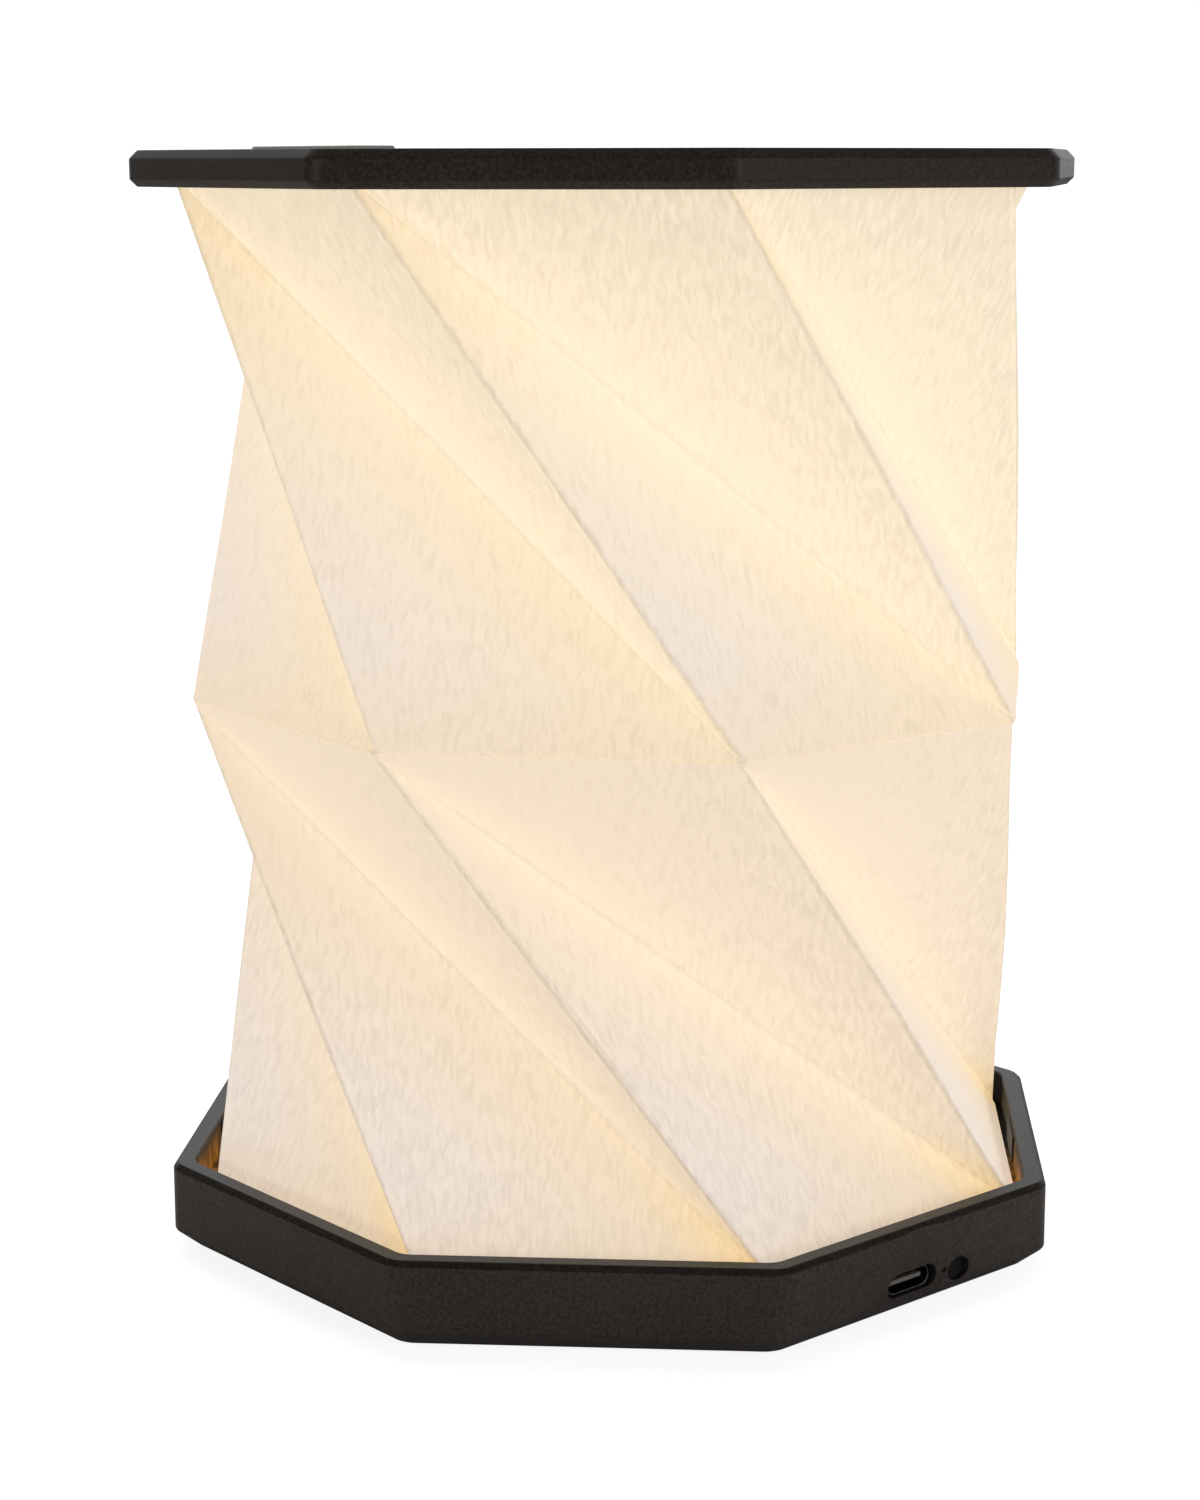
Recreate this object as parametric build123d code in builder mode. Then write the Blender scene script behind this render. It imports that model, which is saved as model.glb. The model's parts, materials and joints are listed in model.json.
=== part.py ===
"""Collapsible octagonal lantern: a twist-fold paper shade between a base tray and a flat lid.

Millimetres, +Z up. The origin is the centre of the footprint, on the surface that the feet
stand on. The base's flats lie across the X and Y axes, and the front is the -Y side.
"""
import os
from math import cos, radians, sin, sqrt

from build123d import *

# Plan shape
sides = 8
half_step = 180 / sides
full_step = 360 / sides
corner_secant = 1 / cos(radians(half_step))

# Fits
running_gap = 0.15
press_gap = 0.05
seat_gap = 0.2
free_gap = 0.4
closed_gap = 0.3

# Base shell
foot_stand = 0.3
base_apothem = 66.85
base_height = 13.4
base_corner_radius = 4.0
base_top_chamfer = 0.75
base_under_inset = 3.35
base_under_rise = 2.8
rim_width = 3.35
rim_inner_chamfer = 0.25
works_height = 5.4
tray_corner_radius = 3.2
floor_thickness = 1.1
cavity_wall = 6.55
cover_ledge = 1.0
cover_thickness = 1.5

# Folding shade
paper_thickness = 0.4
ring_setback = 1.97
lower_fold_height = 75.8
upper_fold_height = 78.65
mid_band_height = 1.0
lower_crease_span = 49.6
upper_crease_span = 47.6
flat_crease_span = 90.0
hem_width = 3.8
hem_thickness = 0.3

# Lid
lid_overhang = 0.95
lid_height = 5.3
lid_corner_radius = 4.0
lid_top_chamfer = 1.25
lid_lower_chamfer = 1.1
lid_rim_width = 3.85
lid_skin = 1.4
inner_plate_thickness = 0.85
reflector_inset = 13.5
plate_length = 31.0
plate_width = 7.5
plate_thickness = 0.5
plate_corner_radius = 1.0
plate_edge_chamfer = 0.3
plate_inset = 17.8
plate_bearing = -143.4

# Clamp rings
clamp_width = 6.1
clamp_thickness = 0.9
clamp_setback = 1.85
clamp_screw_inset = 2.1
clamp_corner_radius = 2.5
boss_radius = 2.3
boss_depth = 2.5

# Screws
screw_radius = 1.0
screw_head_radius = 1.75
screw_head_height = 0.8
screw_head_bevel = 0.25
screw_slot_length = 1.9
screw_slot_width = 0.4
screw_slot_depth = 0.4
clamp_screw_length = 4.0
cover_screw_length = 4.2
board_screw_length = 2.0
lamp_screw_length = 3.4
cover_screw_bearing = 67.5
cover_screw_inset = 8.3
cover_boss_radius = 3.0

# Feet
foot_radius = 6.0
foot_recess = 0.8
foot_bevel = 0.15
foot_inset = 12.3

# Magnets
magnet_length = 11.0
magnet_depth = 2.0
base_magnet_height = 4.0
lid_magnet_height = 1.9
magnet_proud = 0.3
magnet_drop = 0.6

# Port side
port_bearing = -45.0
scoop_top = 10.5
scoop_radius = 51.0
scoop_depth = 1.5
port_bay_width = 30.0
port_bay_wall = 3.85
usb_offset = -0.55
usb_height = 4.8
usb_width = 8.94
usb_thickness = 3.2
usb_length = 7.35
usb_wall = 0.3
usb_setback = 1.1
usb_back_wall = 1.0
port_hole_width = 10.3
port_hole_height = 3.8
tongue_width = 6.7
tongue_thickness = 0.7
tongue_length = 5.75
tongue_bevel = 0.14
button_offset = 8.85
button_height = 4.6
button_radius = 1.75
button_setback = 1.2
button_dish = 0.2
button_travel = 0.5
flange_width = 5.1
flange_height = 4.8
flange_thickness = 1.0
flange_shift = 0.55
stem_width = 2.2
stem_height = 1.2
pipe_offset = 6.3
pipe_height = 4.9
pipe_radius = 0.38
pipe_setback = 0.5

# Main board
board_width = 28.0
board_thickness = 1.0
board_back = -6.0
board_corner_radius = 1.5
board_front_gap = 0.6
notch_width = 6.0
notch_depth = 3.6
standoff_radius = 2.6
board_hole_outward = [9.0, 46.0]
board_hole_side = 11.0
switch_width = 4.2
switch_depth = 3.0
switch_height = 1.95
plunger_length = 2.4
plunger_width = 1.8
plunger_height = 0.9
status_led_width = 0.9
status_led_depth = 1.2
status_led_height = 1.9
connector_length = 8.0
connector_width = 3.4

# Battery
battery_length = 56.0
battery_boss_gap = 1.4
battery_headroom = 0.5
battery_corner_radius = 2.0
battery_edge_radius = 1.0
battery_gap = 3.0
pad_thickness = 0.2
pad_inset = 6.0
tab_width = 4.0
tab_thickness = 0.15
tab_spread = 16.0
tab_overlap = 3.0

# Light module
floor_window_radius = 15.0
spreader_radius = 22.0
spreader_thickness = 0.8
lamp_board_radius = 21.0
lamp_board_thickness = 1.0
lamp_screw_circle = 18.2
lamp_screw_count = 3
lamp_screw_bearing = 90.0
led_count = 10
led_circle = 13.0
led_length = 3.5
led_width = 2.8
led_height = 0.7
diffuser_radius = 24.2
diffuser_wall = 1.0
diffuser_height = 5.2
diffuser_corner_radius = 2.2

# Heights worked out from the sizes above
rim_top = foot_stand + base_height
cover_top = foot_stand + cover_thickness
floor_under = cover_top + works_height
floor_top = floor_under + floor_thickness
tray_depth = rim_top - floor_top
ring_low = floor_top + hem_thickness
mid_band_low = ring_low + lower_fold_height
mid_band_high = mid_band_low + mid_band_height
ring_high = mid_band_high + upper_fold_height
inner_plate_low = ring_high + hem_thickness
lid_under = inner_plate_low + inner_plate_thickness
lid_high = lid_under + lid_skin
lid_low = lid_high - lid_height
board_top = usb_height - usb_thickness / 2
board_low = board_top - board_thickness
battery_low = cover_top + pad_thickness
battery_thickness = floor_under - battery_headroom - battery_low
base_clamp_top = ring_low + clamp_thickness
lid_clamp_low = ring_high - clamp_thickness
lamp_board_low = floor_top + spreader_thickness
lamp_board_top = lamp_board_low + lamp_board_thickness

# Widths worked out from the sizes above
tray_apothem = base_apothem - rim_width
cavity_apothem = base_apothem - cavity_wall
cover_recess_apothem = cavity_apothem + cover_ledge
cover_apothem = cover_recess_apothem - seat_gap
cover_screw_circle = cavity_apothem - cover_screw_inset
foot_circle = cavity_apothem - foot_inset
lid_apothem = base_apothem + lid_overhang
lid_inner_apothem = lid_apothem - lid_rim_width
reflector_radius = lid_inner_apothem - reflector_inset
plate_offset = lid_apothem - plate_inset
ring_apothem = tray_apothem - ring_setback
ring_radius = ring_apothem * corner_secant
hem_apothem = ring_apothem - hem_width
clamp_apothem = ring_apothem - clamp_setback
clamp_screw_apothem = clamp_apothem - clamp_width + clamp_screw_inset
clamp_screw_circle = clamp_screw_apothem * corner_secant
battery_front = board_back - battery_gap
battery_width = clamp_screw_apothem - boss_radius - battery_boss_gap + battery_front
battery_middle = battery_front - battery_width / 2
bay_apothem = base_apothem - port_bay_wall
board_front = bay_apothem - board_front_gap

# Turns about the axis, anticlockwise seen from above
mid_turn = full_step - lower_crease_span
lid_turn = mid_turn + full_step - upper_crease_span
lower_twist = flat_crease_span - lower_crease_span
upper_twist = flat_crease_span - upper_crease_span


def level(height, turn=0.0):
    """Return the horizontal plane at a height, turned about the lantern's axis."""
    return Plane.XY.offset(height).rotated((0, 0, turn))


def rounded_octagon(apothem, corner_radius):
    """Return an octagon sketch with flats across its x and y axes and rounded corners."""
    with BuildSketch() as outline:
        RegularPolygon(apothem, sides, major_radius=False, rotation=half_step)
        fillet(outline.vertices(), corner_radius)
    return outline.sketch


def sharp_octagon(apothem):
    """Return an octagon sketch with sharp corners."""
    with BuildSketch() as outline:
        RegularPolygon(apothem, sides, major_radius=False, rotation=half_step)
    return outline.sketch


def port_face(distance):
    """Return the upright plane of the port side, at a distance from the axis."""
    outward = Vector(1, 0, 0).rotate(Axis.Z, port_bearing)
    sideways = Vector(0, 1, 0).rotate(Axis.Z, port_bearing)
    return Plane(origin=outward * distance, x_dir=sideways, z_dir=outward)


def outermost(part):
    """Return the part's face that lies furthest out on the port side."""
    return part.faces().sort_by(Axis((0, 0, 0), port_face(0).z_dir))[-1]


def scooped_face(height, offset=0.0):
    """Return the port side's distance from the axis at a height and an offset from its middle."""
    share = (scoop_top - height) / (scoop_top - foot_stand)
    rise = scoop_radius - sqrt(scoop_radius**2 - offset**2)
    return base_apothem - scoop_depth * share + rise


def save(part, name):
    """Label a finished piece and write its file."""
    part.label = name
    export_step(part, f"parts/{name}.step")


def screw_group(places, plane, length, heads_up=True):
    """Return pan-head screws at places on a plane, with heads above or below it."""
    turn = 1 if heads_up else -1
    with BuildPart() as group:
        with BuildSketch(plane):
            with Locations(*places):
                Circle(screw_head_radius)
        extrude(amount=turn * screw_head_height)
        rims = group.edges().filter_by(GeomType.CIRCLE)
        chamfer(rims.group_by(Axis.Z)[-1 if heads_up else 0], screw_head_bevel)
        with BuildSketch(plane):
            with Locations(*places):
                Circle(screw_radius)
        extrude(amount=-turn * length)
        recess_plane = plane.offset(turn * screw_head_height)
        with BuildSketch(recess_plane):
            with Locations(*places):
                Rectangle(screw_slot_length, screw_slot_width)
                Rectangle(screw_slot_width, screw_slot_length)
        extrude(amount=-turn * screw_slot_depth, mode=Mode.SUBTRACT)
    return group.part


def polar_places(radius, count, start):
    """Return places on a circle, starting from a bearing in degrees."""
    bearings = [radians(start + index * 360 / count) for index in range(count)]
    return [(radius * cos(bearing), radius * sin(bearing)) for bearing in bearings]


os.makedirs("parts", exist_ok=True)

clamp_screw_places = polar_places(clamp_screw_circle, sides, half_step)
lamp_screw_places = polar_places(lamp_screw_circle, lamp_screw_count, lamp_screw_bearing)
cover_screw_places = [
    (cover_screw_circle * cos(radians(bearing)), cover_screw_circle * sin(radians(bearing)))
    for bearing in (
        cover_screw_bearing,
        180 - cover_screw_bearing,
        180 + cover_screw_bearing,
        -cover_screw_bearing,
    )
]
board_screw_places = [
    (outward, side) for outward in board_hole_outward for side in (-board_hole_side, board_hole_side)
]
magnet_bearings = {"front": -90, "right": 0, "back": 90, "left": 180}

# Base shell: one moulded tray with the rim above its floor and the works below it
with BuildPart() as base_shell:
    with BuildSketch(level(foot_stand)):
        add(rounded_octagon(base_apothem - base_under_inset, base_corner_radius))
    with BuildSketch(level(foot_stand + base_under_rise)):
        add(rounded_octagon(base_apothem, base_corner_radius))
    loft(ruled=True)
    with BuildSketch(level(foot_stand + base_under_rise)):
        add(rounded_octagon(base_apothem, base_corner_radius))
    extrude(amount=base_height - base_under_rise)
    chamfer(base_shell.edges().group_by(Axis.Z)[-1], base_top_chamfer)
    with BuildSketch(level(rim_top)):
        add(rounded_octagon(tray_apothem, tray_corner_radius))
    extrude(amount=-tray_depth, mode=Mode.SUBTRACT)
    inner_rim = base_shell.edges().group_by(Axis.Z)[-1].sort_by(SortBy.DISTANCE)
    chamfer(inner_rim[: 2 * sides], rim_inner_chamfer)
    # Hollow for the works, and the ledge that the bottom cover seats on
    with BuildSketch(level(cover_top)):
        add(rounded_octagon(cavity_apothem, tray_corner_radius))
    extrude(amount=floor_under - cover_top, mode=Mode.SUBTRACT)
    with BuildSketch(level(foot_stand)):
        add(rounded_octagon(cover_recess_apothem, tray_corner_radius))
    extrude(amount=cover_thickness, mode=Mode.SUBTRACT)
    # Thinned wall behind the port and the button
    with BuildSketch(level(cover_top, port_bearing)):
        with Locations((bay_apothem - board_width / 2, 0)):
            Rectangle(board_width, port_bay_width)
    extrude(amount=floor_under - cover_top, mode=Mode.SUBTRACT)
    # Screw bosses under the floor
    with BuildSketch(level(floor_under)):
        with Locations(*clamp_screw_places):
            Circle(boss_radius)
    extrude(amount=-boss_depth)
    with BuildSketch(level(floor_under, port_bearing)):
        with Locations(*cover_screw_places):
            Circle(cover_boss_radius)
    extrude(amount=cover_top - floor_under)
    # Holes through the floor
    with BuildSketch(level(floor_top)):
        with Locations(*clamp_screw_places):
            Circle(screw_radius + press_gap)
        with Locations(*lamp_screw_places):
            Circle(screw_radius + press_gap)
        Circle(floor_window_radius)
    extrude(amount=-floor_thickness - boss_depth, mode=Mode.SUBTRACT)
    with BuildSketch(level(cover_top, port_bearing)):
        with Locations(*cover_screw_places):
            Circle(screw_radius + press_gap)
    extrude(amount=cover_screw_length - cover_thickness + screw_head_height + seat_gap, mode=Mode.SUBTRACT)
    # Pockets for the latch magnets in the rim's inner face
    for bearing in magnet_bearings.values():
        with BuildSketch(level(rim_top - magnet_drop, bearing)):
            with Locations((tray_apothem, 0)):
                Rectangle(2 * (magnet_depth - magnet_proud + press_gap), magnet_length + 2 * press_gap)
        extrude(amount=-base_magnet_height - 2 * press_gap, mode=Mode.SUBTRACT)
    # Shallow scoop round the port and the button
    scoop_fall = Vector(0, 0, foot_stand - scoop_top)
    scoop_plane = Plane(
        origin=port_face(base_apothem + scoop_radius).origin + Vector(0, 0, scoop_top),
        x_dir=port_face(0).x_dir,
        z_dir=scoop_fall - port_face(0).z_dir * scoop_depth,
    )
    with BuildSketch(scoop_plane):
        Circle(scoop_radius)
    extrude(amount=2 * base_height, both=True, mode=Mode.SUBTRACT)
    # Openings for the port, the button and the status light
    with BuildSketch(port_face(bay_apothem - free_gap)):
        with Locations((usb_offset, usb_height)):
            SlotOverall(port_hole_width, port_hole_height)
        with Locations((button_offset, button_height)):
            Circle(button_radius + running_gap)
        with Locations((pipe_offset, pipe_height)):
            Circle(pipe_radius + press_gap)
    extrude(amount=2 * port_bay_wall, mode=Mode.SUBTRACT)
    button_mouth = scooped_face(button_height, button_offset)
    with BuildSketch(port_face(button_mouth - button_dish)):
        with Locations((button_offset, button_height)):
            Circle(button_radius + running_gap)
    with BuildSketch(port_face(button_mouth + button_dish)):
        with Locations((button_offset, button_height)):
            Circle(button_radius + running_gap + 2 * button_dish)
    loft(mode=Mode.SUBTRACT)
save(base_shell.part, "base_shell")

# Bottom cover: flat plate with foot recesses, board standoffs and sunk screw holes
cover_head_depth = screw_head_height + seat_gap
foot_names = ("right", "back", "left", "front")
foot_places = polar_places(foot_circle, len(foot_names), 0)
with BuildPart() as bottom_cover:
    with BuildSketch(level(foot_stand)):
        add(rounded_octagon(cover_apothem, tray_corner_radius))
    extrude(amount=cover_thickness)
    with BuildSketch(level(cover_top, port_bearing)):
        with Locations(*board_screw_places):
            Circle(standoff_radius)
    extrude(amount=board_low - cover_top)
    with BuildSketch(level(board_low, port_bearing)):
        with Locations(*board_screw_places):
            Circle(screw_radius + press_gap)
    extrude(amount=board_thickness - board_screw_length - seat_gap, mode=Mode.SUBTRACT)
    with BuildSketch(level(foot_stand)):
        with Locations(*foot_places):
            Circle(foot_radius + press_gap)
    extrude(amount=foot_recess, mode=Mode.SUBTRACT)
    with BuildSketch(level(foot_stand, port_bearing)):
        with Locations(*cover_screw_places):
            Circle(screw_head_radius + seat_gap)
    extrude(amount=cover_head_depth, mode=Mode.SUBTRACT)
    with BuildSketch(level(foot_stand, port_bearing)):
        with Locations(*cover_screw_places):
            Circle(screw_radius + running_gap)
    extrude(amount=cover_thickness, mode=Mode.SUBTRACT)
save(bottom_cover.part, "bottom_cover")

# Feet: rubber discs seated in the cover's recesses
for name, place in zip(foot_names, foot_places):
    with BuildPart() as foot:
        with BuildSketch(level(0)):
            with Locations(place):
                Circle(foot_radius)
        extrude(amount=foot_stand + foot_recess)
        chamfer(foot.edges().group_by(Axis.Z)[0], foot_bevel)
    save(foot.part, f"foot_{name}")

cover_screws = screw_group(
    cover_screw_places,
    level(foot_stand + cover_head_depth, port_bearing),
    cover_screw_length - cover_thickness,
    heads_up=False,
)
save(cover_screws, "cover_screws")

# Main board: carries the port, the switch and the status light, screwed to the standoffs
board_length = board_front - board_back
with BuildPart() as main_board:
    with BuildSketch(level(board_low, port_bearing)):
        with Locations((board_back + board_length / 2, 0)):
            RectangleRounded(board_length, board_width, board_corner_radius)
        with Locations((board_front, button_offset + flange_shift)):
            Rectangle(2 * notch_depth, notch_width, mode=Mode.SUBTRACT)
        with Locations(*board_screw_places):
            Circle(screw_radius + running_gap, mode=Mode.SUBTRACT)
    extrude(amount=board_thickness)
save(main_board.part, "main_board")

board_screws = screw_group(
    board_screw_places, level(board_top, port_bearing), board_screw_length
)
save(board_screws, "board_screws")

# Charging socket: a drawn steel shell round a plastic tongue
usb_front = scooped_face(usb_height) - usb_setback
with BuildPart() as usb_c_shell:
    with BuildSketch(port_face(usb_front - usb_length)):
        with Locations((usb_offset, usb_height)):
            SlotOverall(usb_width, usb_thickness)
    extrude(amount=usb_length)
    with BuildSketch(port_face(usb_front)):
        with Locations((usb_offset, usb_height)):
            SlotOverall(usb_width - 2 * usb_wall, usb_thickness - 2 * usb_wall)
    extrude(amount=usb_back_wall - usb_length, mode=Mode.SUBTRACT)
save(usb_c_shell.part, "usb_c_shell")

with BuildPart() as usb_c_tongue:
    with BuildSketch(port_face(usb_front - usb_length + usb_back_wall)):
        with Locations((usb_offset, usb_height)):
            Rectangle(tongue_width, tongue_thickness)
    extrude(amount=tongue_length)
    chamfer(outermost(usb_c_tongue.part).edges(), tongue_bevel)
save(usb_c_tongue.part, "usb_c_tongue")

# Power button: cap through the wall, flange behind it and a stem that meets the switch
button_front = button_mouth - button_setback
flange_front = bay_apothem - seat_gap
plunger_front = board_front - notch_depth + running_gap
switch_front = plunger_front - plunger_length / 2
with BuildPart() as power_button:
    with BuildSketch(port_face(flange_front)):
        with Locations((button_offset, button_height)):
            Circle(button_radius)
    extrude(amount=button_front - flange_front)
    chamfer(outermost(power_button.part).edges(), running_gap)
    with BuildSketch(port_face(flange_front)):
        with Locations((button_offset + flange_shift, button_height - flange_shift / 2)):
            Rectangle(flange_width, flange_height)
    extrude(amount=-flange_thickness)
    with BuildSketch(port_face(flange_front - flange_thickness)):
        with Locations((button_offset, button_height)):
            Rectangle(stem_width, stem_height)
    extrude(amount=plunger_front - flange_front + flange_thickness)
save(power_button.part, "power_button")

# Switch behind the button
plunger_z = board_top + switch_height / 2
with BuildPart() as switch_body:
    with BuildSketch(level(board_top, port_bearing)):
        with Locations((switch_front - switch_depth / 2, button_offset)):
            Rectangle(switch_depth, switch_width)
    extrude(amount=switch_height)
    with BuildSketch(port_face(switch_front)):
        with Locations((button_offset, plunger_z)):
            Rectangle(plunger_width + 2 * running_gap, plunger_height + 2 * running_gap)
    extrude(amount=-plunger_length / 2 - button_travel - seat_gap, mode=Mode.SUBTRACT)
save(switch_body.part, "switch_body")

with BuildPart() as switch_plunger:
    with BuildSketch(port_face(plunger_front)):
        with Locations((button_offset, plunger_z)):
            Rectangle(plunger_width, plunger_height)
    extrude(amount=-plunger_length)
save(switch_plunger.part, "switch_plunger")

# Status light and the clear pipe that shows it
with BuildPart() as status_light:
    with BuildSketch(level(board_top, port_bearing)):
        with Locations((board_front - notch_depth - status_led_depth / 2, pipe_offset - seat_gap)):
            Rectangle(status_led_depth, status_led_width)
    extrude(amount=status_led_height)
save(status_light.part, "status_light")

with BuildPart() as light_pipe:
    with BuildSketch(port_face(board_front - notch_depth)):
        with Locations((pipe_offset, pipe_height)):
            Circle(pipe_radius)
    extrude(amount=scooped_face(pipe_height, pipe_offset) - pipe_setback - board_front + notch_depth)
save(light_pipe.part, "light_pipe")

# Parts soldered on the main board, each with its place outward and sideways and its size
chip_sizes = {
    "charger": (40.0, 2.0, 4.0, 4.0, 0.9),
    "driver": (26.0, -3.0, 5.0, 4.4, 1.1),
    "coil": (26.0, 6.5, 5.0, 5.0, 2.4),
    "controller": (15.0, -2.0, 4.9, 3.9, 1.2),
    "input_capacitor": (47.5, 1.0, 3.2, 1.6, 1.4),
    "output_capacitor": (33.0, 6.0, 3.2, 1.6, 1.4),
}
with BuildPart() as board_chips:
    for outward, side, length, width, height in chip_sizes.values():
        with BuildSketch(level(board_top, port_bearing)):
            with Locations((outward, side)):
                Rectangle(length, width)
        extrude(amount=height)
save(board_chips.part, "board_chips")

# Battery: flat pouch cell on a foam pad, with nickel tabs to the main board
with BuildPart() as battery:
    with BuildSketch(level(battery_low, port_bearing)):
        with Locations((battery_middle, 0)):
            RectangleRounded(battery_width, battery_length, battery_corner_radius)
    extrude(amount=battery_thickness)
    fillet(battery.edges().group_by(Axis.Z)[-1], battery_edge_radius)
save(battery.part, "battery")

with BuildPart() as battery_pad:
    with BuildSketch(level(cover_top, port_bearing)):
        with Locations((battery_middle, 0)):
            Rectangle(battery_width - 2 * pad_inset, battery_length - 2 * pad_inset)
    extrude(amount=pad_thickness)
save(battery_pad.part, "battery_pad")

with BuildPart() as battery_tabs:
    with BuildSketch(level(board_top, port_bearing)):
        with Locations((battery_front + (battery_gap + tab_overlap) / 2, -tab_spread / 2)):
            Rectangle(battery_gap + tab_overlap, tab_width)
        with Locations((battery_front + (battery_gap + tab_overlap) / 2, tab_spread / 2)):
            Rectangle(battery_gap + tab_overlap, tab_width)
    extrude(amount=tab_thickness)
save(battery_tabs.part, "battery_tabs")

# Light module: heat spreader, round lamp board, LEDs and the frosted diffuser over them
with BuildPart() as heat_spreader:
    with BuildSketch(level(floor_top)):
        Circle(spreader_radius)
        with Locations(*lamp_screw_places):
            Circle(screw_radius + running_gap, mode=Mode.SUBTRACT)
    extrude(amount=spreader_thickness)
    with BuildSketch(level(floor_top, port_bearing)):
        Rectangle(connector_length + 2 * free_gap, connector_width + 2 * free_gap)
    extrude(amount=spreader_thickness, mode=Mode.SUBTRACT)
save(heat_spreader.part, "heat_spreader")

with BuildPart() as lamp_board:
    with BuildSketch(level(lamp_board_low)):
        Circle(lamp_board_radius)
        with Locations(*lamp_screw_places):
            Circle(screw_radius + running_gap, mode=Mode.SUBTRACT)
    extrude(amount=lamp_board_thickness)
save(lamp_board.part, "lamp_board")

with BuildPart() as lamp_leds:
    with BuildSketch(level(lamp_board_top)):
        with PolarLocations(led_circle, led_count):
            Rectangle(led_length, led_width)
        Rectangle(led_length, led_width)
    extrude(amount=led_height)
save(lamp_leds.part, "lamp_leds")

save(screw_group(lamp_screw_places, level(lamp_board_top), lamp_screw_length), "lamp_screws")

with BuildPart() as lamp_connector:
    with BuildSketch(level(board_top, port_bearing)):
        Rectangle(connector_length, connector_width)
    extrude(amount=lamp_board_low - board_top)
save(lamp_connector.part, "lamp_connector")

with BuildPart() as diffuser:
    with BuildSketch(level(floor_top)):
        Circle(diffuser_radius)
    extrude(amount=diffuser_height)
    fillet(diffuser.edges().group_by(Axis.Z)[-1], diffuser_corner_radius)
    with BuildSketch(level(floor_top)):
        Circle(diffuser_radius - diffuser_wall)
    extrude(amount=diffuser_height - diffuser_wall, mode=Mode.SUBTRACT)
save(diffuser.part, "diffuser")

# Clamp rings: each presses a hem of the shade flat, one on the tray floor, one under the lid
with BuildPart() as base_clamp:
    with BuildSketch(level(ring_low)):
        add(rounded_octagon(clamp_apothem, clamp_corner_radius))
        add(rounded_octagon(clamp_apothem - clamp_width, clamp_corner_radius), mode=Mode.SUBTRACT)
        with Locations(*clamp_screw_places):
            Circle(screw_radius + running_gap, mode=Mode.SUBTRACT)
    extrude(amount=clamp_thickness)
save(base_clamp.part, "base_clamp")
save(screw_group(clamp_screw_places, level(base_clamp_top), clamp_screw_length), "base_clamp_screws")

with BuildPart() as lid_clamp:
    with BuildSketch(level(lid_clamp_low, lid_turn)):
        add(rounded_octagon(clamp_apothem, clamp_corner_radius))
        add(rounded_octagon(clamp_apothem - clamp_width, clamp_corner_radius), mode=Mode.SUBTRACT)
        with Locations(*clamp_screw_places):
            Circle(screw_radius + running_gap, mode=Mode.SUBTRACT)
    extrude(amount=clamp_thickness)
save(lid_clamp.part, "lid_clamp")

lid_screw_length = lid_high - lid_skin / 2 - lid_clamp_low
lid_clamp_screws = screw_group(
    clamp_screw_places, level(lid_clamp_low, lid_turn), lid_screw_length, heads_up=False
)
save(lid_clamp_screws, "lid_clamp_screws")


def ring_points(radius, height, turn):
    """Return the eight crease corners of a ring of the shade."""
    bearings = [radians(half_step + turn + index * full_step) for index in range(sides)]
    return [Vector(radius * cos(a), radius * sin(a), height) for a in bearings]


def folded_solid(top, low):
    """Return the solid inside a twisted layer, whose creases run from each upper corner
    to the next lower corner and to the one after it."""
    facets = []
    for index in range(sides):
        after = (index + 1) % sides
        beyond = (index + 2) % sides
        facets.append([top[index], low[after], low[beyond]])
        facets.append([top[index], low[beyond], top[after]])
    facets.append(top)
    facets.append(low[::-1])
    return Solid(Shell([Face(Wire.make_polygon(corners)) for corners in facets]))


def folded_layer(top_height, top_turn, low_height, low_turn):
    """Return one thin-walled twisted layer of the shade."""
    inner_radius = ring_radius - paper_thickness * corner_secant
    outer = folded_solid(
        ring_points(ring_radius, top_height, top_turn), ring_points(ring_radius, low_height, low_turn)
    )
    inner = folded_solid(
        ring_points(inner_radius, top_height, top_turn), ring_points(inner_radius, low_height, low_turn)
    )
    with BuildPart() as layer:
        add(outer)
        add(inner, mode=Mode.SUBTRACT)
    return layer.part


# Shade: two twisted layers of paper that meet at the middle fold, each with a hem
with BuildPart() as shade_lower:
    add(folded_layer(mid_band_low, mid_turn, ring_low, 0))
    with BuildSketch(level(ring_low)):
        add(sharp_octagon(ring_apothem))
        add(sharp_octagon(hem_apothem), mode=Mode.SUBTRACT)
    extrude(amount=-hem_thickness)
save(shade_lower.part, "shade_lower")

with BuildPart() as shade_mid_fold:
    with BuildSketch(level(mid_band_low, mid_turn)):
        add(sharp_octagon(ring_apothem))
        add(sharp_octagon(ring_apothem - paper_thickness), mode=Mode.SUBTRACT)
    extrude(amount=mid_band_height)
save(shade_mid_fold.part, "shade_mid_fold")

with BuildPart() as shade_upper:
    add(folded_layer(ring_high, lid_turn, mid_band_high, mid_turn))
    with BuildSketch(level(ring_high, lid_turn)):
        add(sharp_octagon(ring_apothem))
        add(sharp_octagon(hem_apothem), mode=Mode.SUBTRACT)
    extrude(amount=hem_thickness)
save(shade_upper.part, "shade_upper")

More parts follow.
